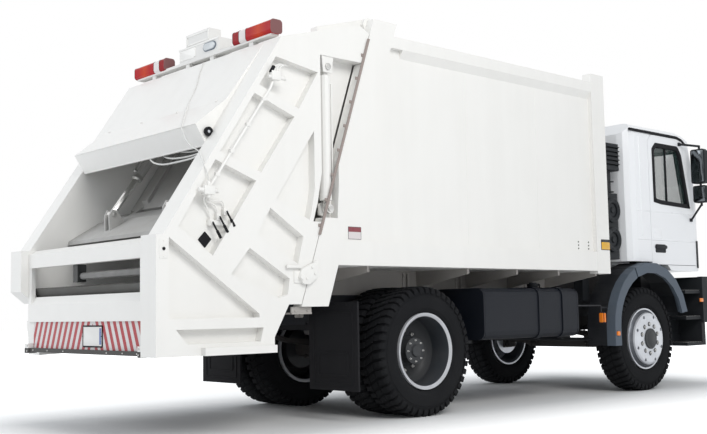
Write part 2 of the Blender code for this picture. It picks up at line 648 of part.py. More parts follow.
def arch(a, b, start, end, steps=6):
    """Points of the wheel arch's ellipse between two angles from +Y towards +Z."""
    points = []
    for step in range(steps + 1):
        angle = math.radians(start + (end - start) * step / steps)
        points.append((ARCH_Y + a * math.cos(angle), ARCH_Z + b * math.sin(angle)))
    return points


def band(start, end, leg=None):
    """The arch as a band on the right side: a wide guard with a lip that turns down outside."""
    shapes = []
    for x, inner, outer, short in (((ARCH_IN, ARCH_OUT - 0.003), 0.0, ARCH_T, 0.0),
                                   ((ARCH_OUT - LIP_W, ARCH_OUT), LIP_DEEP, ARCH_T - 0.004, 0.5)):
        inside = arch(ARCH_A - inner, ARCH_B - inner, start + short, end)
        outside = arch(ARCH_A + outer, ARCH_B + outer, start + short, end)
        if leg:
            inside.append((inside[-1][0], leg))
            outside.append((outside[-1][0], leg))
        shapes.append(prism("X", outside + inside[::-1], x))
    return shapes


def mudguards():
    """Rear halves of the front mudguards on one cross tube, and the front halves on the cab."""
    split = math.degrees(math.acos((ARCH_SPLIT - ARCH_Y) / ARCH_A))
    right = band(split + 0.6, 180.0, leg=0.54)
    left = [mirrored(shape) for shape in right]
    y = ARCH_Y - ARCH_A - 0.028
    low = 0.61
    tube = rod((-ARCH_IN - 0.05, y, low), (ARCH_IN + 0.05, y, low), 0.02)
    stay = [box((RAIL_X + 0.04, RAIL_X + 0.07), (y - 0.02, y + 0.02), (low, RAIL_TOP - 0.11)),
            box((RAIL_X + SEAT, RAIL_X + 0.06), (y - 0.03, y + 0.03), (RAIL_BASE + 0.06, RAIL_TOP - 0.10))]
    stay += [mirrored(shape) for shape in stay]
    place("front_mudguards", solid(right + left + [tube] + stay), "fender_grey", smooth=40)
    bracket = box((CAB_HALF - 0.147, CAB_HALF - 0.053), (ARCH_Y - 0.067, ARCH_Y + 0.037),
                  (ARCH_Z + ARCH_B + 0.012, CAB_FLOOR - SEAT))
    both_sides("cab_mudguard", solid([bracket] + band(12.0, split - 0.6)), "fender_grey", cab_origin(),
               smooth=40)


FLAP_Y = -0.86


def mudflaps():
    """Flaps behind the rear wheels, on one bar under the rails."""
    y = (FLAP_Y, FLAP_Y + 0.02)
    out, near = BODY_HALF - 0.05, RAIL_X + 0.10
    flaps = [box(x, y, (0.28, RAIL_TOP - 0.07)) for x in ((-out, -near), (near, out))]
    bar = box((-near - 0.06, near + 0.06), y, (RAIL_BASE - 0.05, RAIL_BASE - SEAT))
    place("rear_mudflaps", solid(flaps + [bar]), "frame_black")


# The refuse body, panel by panel
def sloped(z_low, z_high, front, inset=0.0):
    """Side outline of a panel that ends at the slanted rear frame."""
    ahead = SEAL_GAP + FRAME_DEPTH + SEAT + inset
    return [(seal_y(z_low, ahead), z_low), (front, z_low), (front, z_high), (seal_y(z_high, ahead), z_high)]


def body():
    front = BODY_FRONT
    inside = BODY_HALF - WALL_T
    panel = BODY_HALF - PANEL_IN
    sill_top = FLOOR_BASE + SILL_H
    rail_base = BODY_TOP - TOP_RAIL_H
    wall = prism("X", sloped(FLOOR_BASE + 0.01, BODY_TOP - 0.01, front - 0.01, 0.004), (inside, panel))
    sill = prism("X", sloped(FLOOR_BASE, sill_top, front), (inside, BODY_HALF))
    rail = prism("X", sloped(rail_base, BODY_TOP, front), (inside, BODY_HALF))
    slope = prism("Y", [(panel - 0.01, rail_base - TOP_RAIL_SLOPE), (BODY_HALF, rail_base + 0.001),
                        (panel - 0.01, rail_base + 0.001)], (seal_y(rail_base, 0.45), front))
    post = box((inside, BODY_HALF), (front - POST_L, front), (SILL_POST_BASE, POST_TOP))
    both_sides("body_side", solid([wall, sill, rail, slope, post]), "body_white")

    room = inside - SEAT
    floor = prism("X", sloped(FLOOR_BASE, FLOOR_BASE + FLOOR_T, front), (-room, room))
    place("body_floor", floor, "body_white")
    roof = prism("X", sloped(BODY_TOP - ROOF_T, BODY_TOP, front), (-room, room))
    place("body_roof", roof, "body_white")
    high = (FLOOR_BASE + FLOOR_T + SEAT, BODY_TOP - ROOF_T - SEAT)
    wall = box((-room, room), (front - FRONT_T, front - 0.002), high)
    ribs = [box((x - 0.04, x + 0.04), (front - 0.03, front + 0.035), high)
            for x in (0.4397 - room, 0.0, room - 0.4397)]
    place("body_front", solid([wall] + ribs), "body_white")


def rear_frame():
    """The slanted ring that the tailgate closes on, with the hinge lugs at its top."""
    near, far = SEAL_GAP, SEAL_GAP + FRAME_DEPTH

    def slab(low, high, x, depth=(near, far)):
        outline = [(seal_y(low, depth[0]), low), (seal_y(low, depth[1]), low),
                   (seal_y(high, depth[1]), high), (seal_y(high, depth[0]), high)]
        return prism("X", outline, x)

    inside = BODY_HALF - WALL_T
    beam_top = HINGE[1] - HINGE_R - 0.012
    post = slab(FRAME_BASE, FRAME_TOP, (inside, BODY_HALF))
    lug_x = (HINGE_X - HINGE_ARM_W / 2 - PIN_SIDE - 0.06, HINGE_X - HINGE_ARM_W / 2 - PIN_SIDE)
    lug = eye(lug_x, HINGE, HINGE_R)
    web = prism("X", [(HINGE[0], HINGE[1] + HINGE_R - 0.01), (HINGE[0], BODY_TOP - 0.01),
                      (HINGE[0] + 0.20, BODY_TOP - 0.01)], lug_x)
    lug_out = eye((HINGE_X + HINGE_ARM_W / 2 + PIN_SIDE, inside + 0.02), HINGE, HINGE_R)
    right = [post, lug, web, lug_out]
    left = [mirrored(shape) for shape in right]
    across = (-inside - 0.01, inside + 0.01)
    top = slab(BODY_TOP - ROOF_T - 0.02, beam_top, across, (near + 0.003, far - 0.003))
    sill = slab(RAIL_TOP + 0.02, FLOOR_BASE + FLOOR_T - 0.01, across, (near + 0.003, near + 0.12))
    keel = slab(FLOOR_BASE + 0.005, FLOOR_BASE + FLOOR_T, across, (near + 0.01, far - 0.003))
    # pocket for the lift cylinder's rod eye, with its two ears
    y, z = LIFT_BASE
    x_low = LIFT_X - LIFT_BARREL_R - RUN
    pocket = prism("X", [(y - 0.5, z - 0.08), (y + 0.06, z - 0.08), (y + 0.08, z + 0.20),
                         (y + 0.08, z + 0.60), (y - 0.5, z + 0.60)], (x_low, BODY_HALF + 0.1))
    eye_x = (LIFT_X - LIFT_EYE_W / 2, LIFT_X + LIFT_EYE_W / 2)
    ear = prism("X", [(y - 0.06, z - 0.05), (y + 0.10, z - 0.10), (y + 0.10, z + 0.10), (y - 0.06, z + 0.05)],
                (x_low - 0.005, eye_x[0] - PIN_SIDE))
    whole = solid(right + left + [top, sill, keel], [pocket, mirrored(pocket)])
    place("body_rear_frame", solid([ear, mirrored(ear), whole]), "body_white")


def ejector():
    """The plate that pushes the load out: a sloped face on a frame that slides on the floor."""
    half = BODY_HALF - WALL_T - 0.02
    skid = FLOOR_BASE + FLOOR_T + PIN_SIDE
    low = skid + RUN
    high = BODY_TOP - ROOF_T - 0.03
    lean = SEAL_SLOPE * (high - low)
    face = prism("X", [(EJECTOR_Y - lean, low), (EJECTOR_Y - lean + EJECTOR_T, low),
                       (EJECTOR_Y + EJECTOR_T, high), (EJECTOR_Y, high)], (-half, half))
    gussets = [prism("X", [(EJECTOR_Y - lean + 0.02, skid), (EJECTOR_Y + 0.20, skid),
                           (EJECTOR_Y + 0.20, low + 0.12), (EJECTOR_Y - 0.10, low + 1.40)],
                     (x - 0.02, x + 0.02)) for x in (-half + 0.04, -0.45, 0.45, half - 0.04)]
    place("ejector_plate", solid([face] + gussets), "hopper_grey", (0, EJECTOR_Y, low))


# The tailgate
def side_frame(sign):
    """One side of the tailgate: a thick slanted plate with recesses between its ribs."""
    back = REAR_END + 0.02
    if sign > 0:
        foot = [(back, TAIL_BASE), (back, 1.57)]
    else:
        foot = [(-2.73, 0.63), (-2.76, 1.08), (REAR_END, 1.20), (REAR_END, 1.57)]
    outline = foot + [SLANT_FOOT, SLANT_HEAD, (-0.93, 3.48), (-0.80, 3.50)]
    outline += [SEAL_HEAD, (SEAL_FOOT[0], SEAL_FOOT[1]), (-1.65, 1.04), (-1.80, 0.78), (-1.80, TAIL_BASE)]
    plate = prism("X", outline, (SIDE_IN, BODY_HALF))
    pockets = (
        # each recess between the ribs, as (y, z) corners
        ((-1.757, 3.08), (-1.31, 3.01), (-1.52, 2.67), (-1.93, 2.82)),
        ((-1.979, 2.745), (-1.57, 2.595), (-1.92, 2.10), (-2.315, 2.24)),
        ((-2.361, 2.17), (-1.97, 2.03), (-2.39, 1.42), (-2.70, 1.63)),
        ((-1.77, 1.90), (-1.42, 1.74), (-1.39, 1.86), (-1.36, 2.00), (-1.36, 2.50)),
        ((-1.83, 1.82), (-1.49, 1.60), (-1.55, 1.37), (-1.96, 1.60)),
        ((-2.04, 1.49), (-1.64, 1.25), (-1.66, 1.12), (-1.75, 1.09), (-2.22, 1.28)),
        ((-2.78, 1.55), (-1.95, 0.97), (-1.95, 0.94), (-2.78, 0.94)),
        ((-2.72, 0.86), (-1.91, 0.86), (-1.94, 0.75), (-2.62, 0.75)),
    )
    cuts = [prism("X", pocket, (POCKET_X, BODY_HALF + 0.1)) for pocket in pockets]
    # deeper room for the lift cylinder, which swings forward from its upper pin
    y, z = LIFT_TOP
    x_low = LIFT_X - LIFT_BARREL_R - 0.015
    room = [(y - 0.09, z + 0.09), (y + 0.9, z + 0.09), (y + 0.9, LIFT_BASE[1] - 0.12),
            (y - 0.19, LIFT_BASE[1] - 0.12), (y - 0.14, LIFT_BASE[1] + 0.05), (y - 0.09, LIFT_BASE[1] + 0.30)]
    cuts.append(prism("X", room, (x_low, BODY_HALF + 0.1)))
    shapes = [solid([plate], cuts)]
    eye_x = (LIFT_X - LIFT_EYE_W / 2, LIFT_X + LIFT_EYE_W / 2)
    for x in ((x_low - 0.01, eye_x[0] - PIN_SIDE), (eye_x[1] + PIN_SIDE, eye_x[1] + PIN_SIDE + EAR_T)):
        shapes.append(prism("X", [(y - 0.07, z + 0.13), (y - 0.05, z - 0.05), (y + 0.05, z - 0.05),
                                  (y + 0.07, z + 0.13)], x))
    shapes.append(box((POCKET_X - 0.05, BODY_HALF + 0.06), (-2.50, -1.82), (TAIL_BASE, TAIL_BASE + 0.06)))
    arm_x = (HINGE_X - HINGE_ARM_W / 2, HINGE_X + HINGE_ARM_W / 2)
    shapes.append(eye(arm_x, HINGE, HINGE_R))
    shapes.append(prism("X", [(HINGE[0], HINGE[1] + HINGE_R), (-1.20, 3.46), (-1.20, 3.38), (-0.74, 3.42),
                              (-0.70, HINGE[1] - HINGE_R), (HINGE[0], HINGE[1] - HINGE_R)], arm_x))
    if sign > 0:
        return solid(shapes)
    return mirrored(solid(shapes))


def tub():
    """The hopper's floor: an arc that the blade's tip sweeps, then a ramp up to the body's sill."""
    low_y = BLADE_HINGE[0] - SLANT[0] * CARRIAGE_DOWN
    low_z = BLADE_HINGE[1] - SLANT[1] * CARRIAGE_DOWN
    radius = BLADE_R + 0.015
    end = (SEAL_FOOT[0] - 0.012, SEAL_FOOT[1] + 0.10)
    reach = math.dist(end, (low_y, low_z))
    bearing = math.atan2(end[1] - low_z, end[0] - low_y)
    last = 2 * math.pi + bearing - math.acos(radius / reach)
    first = math.radians(BLADE_ANGLE - 2)
    inside, outside = [], []
    steps = 10
    for step in range(steps + 1):
        angle = first + (last - first) * step / steps
        for points, r in ((inside, radius), (outside, radius + TUB_T)):
            points.append((low_y + r * math.cos(angle), low_z + r * math.sin(angle)))
    inside.append(end)
    outside.append((end[0], end[1] - TUB_T))
    half = SIDE_IN - SEAT
    tub = prism("X", inside + outside[::-1], (-half, half))
    place("hopper_tub", tub, "hopper_grey", (0, *HINGE), smooth=30)


SILL_BACK = REAR_END + 0.07
SILL_DEEP = 0.045


def rear_sill():
    """Across the tailgate's back: a beam below and a rail above the slot, on two short posts."""
    half = SIDE_IN - SEAT
    beam = prism("X", [(SILL_BACK, 0.93), (SILL_BACK, 1.08), (SILL_BACK + SILL_DEEP, 1.15),
                       (SILL_BACK + SILL_DEEP, 0.93)], (-half, half))
    rail = prism("X", [(SILL_BACK, 1.41), (SILL_BACK, 1.53), (SILL_BACK + 0.07, 1.57),
                       (SILL_BACK + 0.07, 1.41)], (-half, half))
    post_y = (SILL_BACK + 0.003, SILL_BACK + SILL_DEEP - 0.003)
    posts = [box(x, post_y, (1.05, 1.45)) for x in ((0.001 - half, 0.0597 - half), (half - 0.0997, half - 0.001))]
    shaft = rod((-0.20, SILL_BACK + 0.075, 1.31), (half - 0.02, SILL_BACK + 0.075, 1.31), 0.03)
    arm = box((-0.22, -0.14), (SILL_BACK + 0.03, SILL_BACK + 0.11), (1.26, 1.45))
    keep = box((half - 0.04, half - 0.002), (SILL_BACK + 0.03, SILL_BACK + 0.11), (1.26, 1.36))
    place("rear_sill", solid([beam, rail, shaft, arm, keep] + posts), "body_white", (0, *HINGE))


def rear_board():
    """Striped board under the beam, with a rubber edge and a bracket at each end."""
    half = SIDE_IN - SEAT
    face = box((-half, half), (SILL_BACK + 0.02, SILL_BACK + 0.035), (0.70, 0.93 - SEAT))
    edge = box((-half, half), (SILL_BACK - 0.015, SILL_BACK + 0.05), (0.665, 0.70))
    ends = [box(x, (SILL_BACK - 0.03, SILL_BACK + 0.05), (0.655, 0.74))
            for x in ((-half, 0.0797 - half), (half - 0.0797, half))]
    place("rear_board", solid([face, edge] + ends), "stripe_red", (0, *HINGE))


COVER_FRONT = (-0.95, 3.47)


def hood_top(y):
    """Height of the top cover, between the ridge and its front edge."""
    share = (y - SLANT_HEAD[0]) / (COVER_FRONT[0] - SLANT_HEAD[0])
    return SLANT_HEAD[1] + share * (COVER_FRONT[1] - SLANT_HEAD[1])


def hood():
    """Top cover and hood: one folded sheet, with cheeks at the flare and a deep lip."""
    half = SIDE_IN - SEAT
    top = [COVER_FRONT, SLANT_HEAD, (-2.10, 2.72), (-2.40, 2.48), (-2.30, 2.32)]
    under = [(-2.275, 2.335), (-2.352, 2.465), (-2.07, 2.69), (-1.68, 3.225),
             (COVER_FRONT[0], COVER_FRONT[1] - HOOD_T)]
    sheet = prism("X", top + under, (-half, half))
    cheek = prism("X", [(-2.02, 2.78), (-2.10, 2.72), (-2.40, 2.48), (-2.30, 2.32)], (half - 0.03, half))
    place("rear_hood", solid([sheet, cheek, mirrored(cheek)]), "body_white", (0, *HINGE))


def lamp_bar():
    """On the ridge: a base rail with a long lamp at each end and a beacon box between them."""
    y, z = SLANT_HEAD
    y += 0.06
    rise = 0.045
    end = SIDE_IN + 0.09
    base = box((0.02 - end, end - 0.02), (y - 0.05, y + 0.03), (z + rise, z + rise + 0.025))
    back, ahead = y - 0.04, y + 0.02
    feet = [prism("X", [(back, hood_top(back) + SEAT), (ahead, hood_top(ahead) + SEAT),
                        (ahead, z + rise + 0.01), (back, z + rise + 0.01)], (x - 0.03, x + 0.03))
            for x in (0.32 - end, -0.2, 0.2, end - 0.32)]
    lamps = [prism("X", rounded((y - 0.07, y + 0.05), (z + 0.06, z + 0.18), 0.03, 3), x)
             for x in ((-end, 0.55 - end), (end - 0.55, end))]
    lower = box((-0.32, 0.32), (y - 0.05, y + 0.10), (z + rise + 0.02, z + 0.20))
    upper = box((-0.22, 0.16), (y - 0.04, y + 0.09), (z + 0.19, z + 0.32))
    place("rear_lamp_bar", solid([base, lower, upper] + feet + lamps), "lamp_red", (0, *HINGE))


def lift_cylinders():
    y, z = LIFT_TOP
    x = (LIFT_X - LIFT_EYE_W / 2, LIFT_X + LIFT_EYE_W / 2)
    origin = (LIFT_X, y, z)
    mouth = LIFT_BARREL_END
    crown = z - 0.075
    tube = rod((LIFT_X, y, crown), (LIFT_X, y, mouth), LIFT_BARREL_R, 12)
    bore = rod((LIFT_X, y, crown - 0.02), (LIFT_X, y, mouth - 0.1), LIFT_ROD_R + PIN_SIDE, 8)
    throat = rod((LIFT_X, y, z - 0.01), (LIFT_X, y, crown - 0.01), LIFT_ROD_R, 8)
    both_sides("lift_barrel", solid([eye(x, LIFT_TOP, 0.045), throat, solid([tube], [bore])]), "body_white",
               origin, smooth=40)
    foot_y, foot_z = LIFT_BASE
    bar = rod((LIFT_X, y, crown - 0.025), (LIFT_X, y, foot_z + 0.02), LIFT_ROD_R, 8)
    head = eye(x, (foot_y, foot_z), 0.042)
    neck = rod((LIFT_X, y, mouth - 0.012), (LIFT_X, y, foot_z), LIFT_ROD_R + 0.005, 8)
    both_sides("lift_rod", solid([bar, neck, head]), "chrome", (LIFT_X, foot_y, foot_z), smooth=40)


# The packer
def along_slant(point, up, forward=0.0):
    """A (y, z) point moved up the slant and square to it, towards the front."""
    return (point[0] + SLANT[0] * up + SLANT[1] * forward, point[1] + SLANT[1] * up - SLANT[0] * forward)


def carriage():
    """The carriage: a wide panel that slides along the slant, with shoes, and arms for the rams."""
    half = SIDE_IN - RUN
    low = along_slant(BLADE_HINGE, 0.10)
    corners = [along_slant(low, up, ahead) for up, ahead in
               ((0.0, 0.0), (CARRIAGE_L, 0.0), (CARRIAGE_L, CARRIAGE_T), (0.0, CARRIAGE_T))]
    panel = prism("X", corners, (-half, half))
    ridges = [prism("X", [along_slant(low, up, ahead) for up, ahead in
                          ((0.06, 0.01), (0.08, -0.03), (CARRIAGE_L - 0.1, -0.03), (CARRIAGE_L - 0.08, 0.01))],
                    (x - 0.05, x + 0.05)) for x in (0.23 - SIDE_IN, 0.0, SIDE_IN - 0.23)]
    shoes = []
    for up in (0.08, CARRIAGE_L - 0.20):
        corners = [along_slant(low, rise, ahead) for rise, ahead in
                   ((up, 0.02), (up + 0.12, 0.02), (up + 0.12, CARRIAGE_T - 0.02), (up, CARRIAGE_T - 0.02))]
        shoes += [prism("X", corners, (half - 0.02, SIDE_IN - PIN_SIDE)),
                  prism("X", corners, (PIN_SIDE - SIDE_IN, 0.02 - half))]
    lugs = []
    for x in BLADE_LUG_X:
        outline = [along_slant(BLADE_HINGE, 0.16, 0.01), along_slant(BLADE_HINGE, 0.16, 0.09),
                   along_slant(BLADE_HINGE, 0.0, 0.055), along_slant(BLADE_HINGE, -0.04, 0.04),
                   along_slant(BLADE_HINGE, -0.055, 0.0), along_slant(BLADE_HINGE, -0.04, -0.04),
                   along_slant(BLADE_HINGE, 0.0, -0.055)]
        lugs.append(prism("X", outline, (x - BLADE_LUG_W / 2, x + BLADE_LUG_W / 2)))
    arms = []
    up = (RAM_TOP[0] - low[0]) * SLANT[0] + (RAM_TOP[1] - low[1]) * SLANT[1]
    for x in (-RAM_X, RAM_X):
        for side in (-1, 1):
            inner = x + side * (RAM_EYE_W / 2 + PIN_SIDE)
            outer = inner + side * 0.02
            plate = [along_slant(low, up - 0.06, 0.02), along_slant(low, up + 0.10, 0.02),
                     (RAM_TOP[0] + 0.02, RAM_TOP[1] + 0.05), (RAM_TOP[0] - 0.05, RAM_TOP[1] + 0.02),
                     (RAM_TOP[0] - 0.04, RAM_TOP[1] - 0.05)]
            arms.append(prism("X", plate, tuple(sorted((inner, outer)))))
    place("packer_carriage", solid([panel] + ridges + shoes + lugs + arms), "hopper_grey", (0, *BLADE_HINGE))


def around_hinge(radius, degrees):
    angle = math.radians(degrees)
    return (BLADE_HINGE[0] + radius * math.cos(angle), BLADE_HINGE[1] + radius * math.sin(angle))


def blade():
    """The blade: a wedge from its hinge tube to a straight tip, with a clevis for each ram."""
    half = SIDE_IN - RUN
    tip = around_hinge(BLADE_R, BLADE_ANGLE)
    outline = [around_hinge(0.05, BLADE_ANGLE - 90), around_hinge(0.30, BLADE_ANGLE - 14),
               around_hinge(BLADE_R - 0.02, BLADE_ANGLE - 2.5), tip,
               around_hinge(BLADE_R - 0.06, BLADE_ANGLE + 3), around_hinge(0.16, BLADE_ANGLE + 22)]
    beside = BLADE_LUG_W / 2 + PIN_SIDE
    ends = [-half]
    for x in BLADE_LUG_X:
        ends += [x - beside, x + beside]
    ends.append(half)
    wedge = prism("X", outline, (-half, half))
    slots = [eye(gap, BLADE_HINGE, 0.12, 8) for gap in zip(ends[1::2], ends[2::2])]
    tubes = [eye(span, BLADE_HINGE, 0.05, 10) for span in zip(ends[::2], ends[1::2])]
    ears = []
    for x in (-RAM_X, RAM_X):
        for side in (-1, 1):
            inner = x + side * (RAM_EYE_W / 2 + PIN_SIDE)
            outer = inner + side * 0.02
            foot = [around_hinge(0.34, BLADE_ANGLE - 6), around_hinge(0.52, BLADE_ANGLE - 2)]
            plate = foot + [(RAM_FOOT[0] - 0.05, RAM_FOOT[1] - 0.01), (RAM_FOOT[0] - 0.02, RAM_FOOT[1] + 0.045),
                            (RAM_FOOT[0] + 0.03, RAM_FOOT[1] + 0.04)]
            ears.append(prism("X", plate, tuple(sorted((inner, outer)))))
    cut = solid([wedge], slots)
    place("packer_blade", solid([cut] + tubes + ears), "hopper_grey", (0, *BLADE_HINGE))


def rams():
    """Blade rams: barrels on the carriage's arms, rods to the blade's clevises."""
    top, foot = Vector(RAM_TOP), Vector(RAM_FOOT)
    way = (foot - top).normalized()
    mouth = top + way * RAM_BARREL_L
    crown = top + way * 0.11
    inner = crown + way * 0.025
    x = (RAM_X - RAM_EYE_W / 2, RAM_X + RAM_EYE_W / 2)

    def at(point):
        return (RAM_X, *point)

    tube = solid([rod(at(crown), at(mouth), RAM_BARREL_R, 12)],
                 [rod(at(crown + way * 0.02), at(mouth + way * 0.1), RAM_ROD_R + PIN_SIDE, 8)])
    throat = rod(at(top + way * 0.01), at(crown + way * 0.01), RAM_ROD_R, 8)
    both_sides("ram_barrel", solid([eye(x, RAM_TOP, 0.042), throat, tube]), "plastic_black", at(top), smooth=40)
    bar = rod(at(inner), at(foot), RAM_ROD_R, 8)
    neck = rod(at(mouth + way * 0.012), at(foot - way * 0.02), RAM_ROD_R + 0.005, 8)
    both_sides("ram_rod", solid([bar, neck, eye(x, RAM_FOOT, 0.038)]), "chrome", at(foot), smooth=40)


# The cab
def cab_profile(wall):
    """Side outline of the cab, moved in by a wall."""
    slope = (SCREEN_HEAD[0] - SCREEN_FOOT[0]) / (SCREEN_HEAD[1] - SCREEN_FOOT[1])
    low = CAB_FLOOR + 0.06 if wall else CAB_FLOOR
    chin = [(CAB_REAR + wall, low), (CAB_FRONT - 0.86, low)]
    if not wall:
        chin += [(CAB_FRONT - 0.74, CAB_BASE), (CAB_FRONT - 0.02, CAB_BASE)]
    else:
        chin += [(CAB_FRONT - wall, low)]
    nose = [(CAB_FRONT - wall, SCREEN_FOOT[1] - 0.25), (SCREEN_FOOT[0] - wall, SCREEN_FOOT[1])]
    brow = (SCREEN_HEAD[0] - wall, SCREEN_HEAD[1])
    roof = [(brow[0] + slope * 0.06, brow[1] + 0.06 - wall * 0.3), (CAB_FRONT - 0.48, CAB_ROOF - wall),
            (CAB_REAR + 0.14, CAB_ROOF - wall), (CAB_REAR + wall, CAB_ROOF - 0.14)]
    return chin + nose + [brow] + roof


def cab_form(wall):
    """The cab's outer form, or its inside when given a wall."""
    half = CAB_HALF - wall
    side = prism("X", cab_profile(wall), (-2.0, 2.0))
    plan = prism("Z", rounded((-half, half), (CAB_REAR + wall, CAB_FRONT - wall), 0.14 - wall), (1.0, 3.5))
    rear_view = prism("Y", rounded((-half, half), (1.0, CAB_ROOF - wall), 0.12 - wall * 0.6), (3.0, 5.6))
    return solid([side], within=[plan, rear_view])


def door_outline(grow, front=0.0):
    """Side outline of a door, its hinged edge moved by front; above, it follows the pillar."""
    return [(DOOR_REAR - grow, DOOR_BASE - grow), (DOOR_FRONT + front, DOOR_BASE - grow),
            (DOOR_FRONT + front, SCREEN_FOOT[1] - 0.10), (DOOR_FRONT - 0.22 + grow, DOOR_TOP - 0.10),
            (DOOR_FRONT - 0.29 + grow, DOOR_TOP + grow), (DOOR_REAR + 0.08 - grow, DOOR_TOP + grow),
            (DOOR_REAR - grow, DOOR_TOP - 0.08)]


WINDOW = [(WINDOW_REAR, WINDOW_SILL + 0.02), (WINDOW_REAR + 0.17, WINDOW_SILL),
          (DOOR_FRONT - 0.09, WINDOW_SILL - 0.02), (DOOR_FRONT - 0.25, WINDOW_TOP - 0.10),
          (DOOR_FRONT - 0.33, WINDOW_TOP), (WINDOW_REAR + 0.08, WINDOW_TOP),
          (WINDOW_REAR, WINDOW_TOP - 0.08)]


def screen_y(z, ahead=0.0):
    """Y of the windscreen's outer face at a height."""
    share = (z - SCREEN_FOOT[1]) / (SCREEN_HEAD[1] - SCREEN_FOOT[1])
    return SCREEN_FOOT[0] + share * (SCREEN_HEAD[0] - SCREEN_FOOT[0]) + ahead


def cab():
    """The cab's walls, split where the pressed panels meet, with the doors and windscreen cut out."""
    doorway = prism("X", door_outline(RUN, PIN_SIDE), (CAB_HALF - 0.3, CAB_HALF + 0.1))
    window = box((-SCREEN_HALF, SCREEN_HALF), (CAB_FRONT - 0.40, CAB_FRONT + 0.3),
                 (SCREEN_FOOT[1] + 0.02, SCREEN_HEAD[1] - 0.03))
    grille = [box((0.20 - SCREEN_HALF, SCREEN_HALF - 0.20), (CAB_FRONT - 0.03, CAB_FRONT + 0.1), (z, z + 0.045))
              for z in [CAB_BASE + 0.06 + 0.085 * number for number in range(5)]]
    arches = [prism("X", arch(ARCH_A + ARCH_T + RUN, ARCH_B + ARCH_T + RUN, 0, 180), x)
              for x in ((-CAB_HALF - 0.1, -ARCH_IN + RUN), (ARCH_IN - RUN, CAB_HALF + 0.1))]
    shell = solid([cab_form(0.0)], [cab_form(CAB_WALL)])
    shell = solid([shell], [doorway, mirrored(doorway), window] + grille + arches)
    waist = SCREEN_FOOT[1]
    floor_top = CAB_FLOOR + 0.12
    wide = (-2.0, 2.0)
    cells = (
        # (node, limits in y, limits in z)
        ("cab_floor", (3.0, 6.0), (1.0, floor_top)),
        ("cab_back", (3.0, DOOR_REAR + 0.3), (floor_top + SEAT, 3.0)),
        ("cab_front", (DOOR_REAR + 0.5, 6.0), (floor_top + SEAT, waist)),
    )
    for name, y, z in cells:
        place(name, solid([shell.copy()], within=[box(wide, y, z)]), "cab_white", cab_origin())
    crown = solid([box(wide, (3.0, 6.0), (3.0 + SEAT, 4.0)),
                   box((-1.9, 1.9), (DOOR_REAR + 0.5, 5.9), (waist + SEAT, 3.5))])
    place("cab_roof", solid([shell.copy()], within=[crown]), "cab_white", cab_origin())
    low, high = SCREEN_FOOT[1] + 0.02 + SEAT, SCREEN_HEAD[1] - 0.03 - SEAT
    glass = prism("X", [(screen_y(low, -0.01 - GLASS_T), low), (screen_y(low, -0.01), low),
                        (screen_y(high, -0.01), high), (screen_y(high, -0.01 - GLASS_T), high)],
                  (-SCREEN_HALF + SEAT, SCREEN_HALF - SEAT))
    place("windscreen", glass, "glass", cab_origin())


def cab_origin():
    return (0.0, *CAB_HINGE)


def door_origin():
    return (CAB_HALF, DOOR_FRONT + PIN_SIDE / 2, DOOR_BASE)


def doors():
    skin = prism("X", door_outline(0.0), (CAB_HALF - DOOR_T, CAB_HALF))
    hole = prism("X", WINDOW, (CAB_HALF - 0.2, CAB_HALF + 0.1))
    well = prism("X", [(DOOR_REAR + 0.12, 1.60), (DOOR_FRONT - 0.14, 1.60), (DOOR_FRONT - 0.14, 1.95),
                       (DOOR_REAR + 0.12, 1.95)], (CAB_HALF - 0.2, CAB_HALF - DOOR_T + 0.02))
    handle = box((CAB_HALF - 0.02, CAB_HALF + 0.2), (DOOR_REAR + 0.05, DOOR_REAR + 0.20), (1.79, 1.89))
    grip = box((CAB_HALF - 0.03, CAB_HALF - 0.003), (DOOR_REAR + 0.04, DOOR_REAR + 0.21), (1.855, 1.875))
    both_sides("door", solid([solid([skin], [hole, well, handle]), grip]), "cab_white", door_origin())


def mirrors():
    """A tall mirror and a wide-angle one on a bent tube, held by the door's frame."""
    foot_x = (CAB_HALF + SEAT, CAB_HALF + SEAT + 0.02)
    pole_low, pole_high = 2.20, 2.96
    head = prism("Y", rounded((MIRROR_X - 0.095, MIRROR_X + 0.095), (2.48, 2.91), 0.03, 1),
                 (MIRROR_Y - 0.05, MIRROR_Y + 0.04))
    wide = prism("Y", rounded((MIRROR_X - 0.085, MIRROR_X + 0.095), (2.24, 2.455), 0.03, 1),
                 (MIRROR_Y - 0.04, MIRROR_Y + 0.03))
    pole = rod((MIRROR_X, MIRROR_Y, pole_low), (MIRROR_X, MIRROR_Y, pole_high), MIRROR_TUBE_R, 6)
    shapes = [head, wide, pole]
    for pole_z, (y, z) in ((pole_high - 0.01, (DOOR_FRONT - 0.295, DOOR_TOP - 0.06)),
                           (pole_low + 0.02, (DOOR_FRONT - 0.09, WINDOW_SILL - 0.16))):
        shapes.append(box(foot_x, (y - 0.02, y + 0.02), (z - 0.02, z + 0.02)))
        shapes.append(rod((MIRROR_X, MIRROR_Y, pole_z), (foot_x[0] + MIRROR_TUBE_R, y, z), MIRROR_TUBE_R, 6))
    both_sides("mirror", solid(shapes), "plastic_black", door_origin())


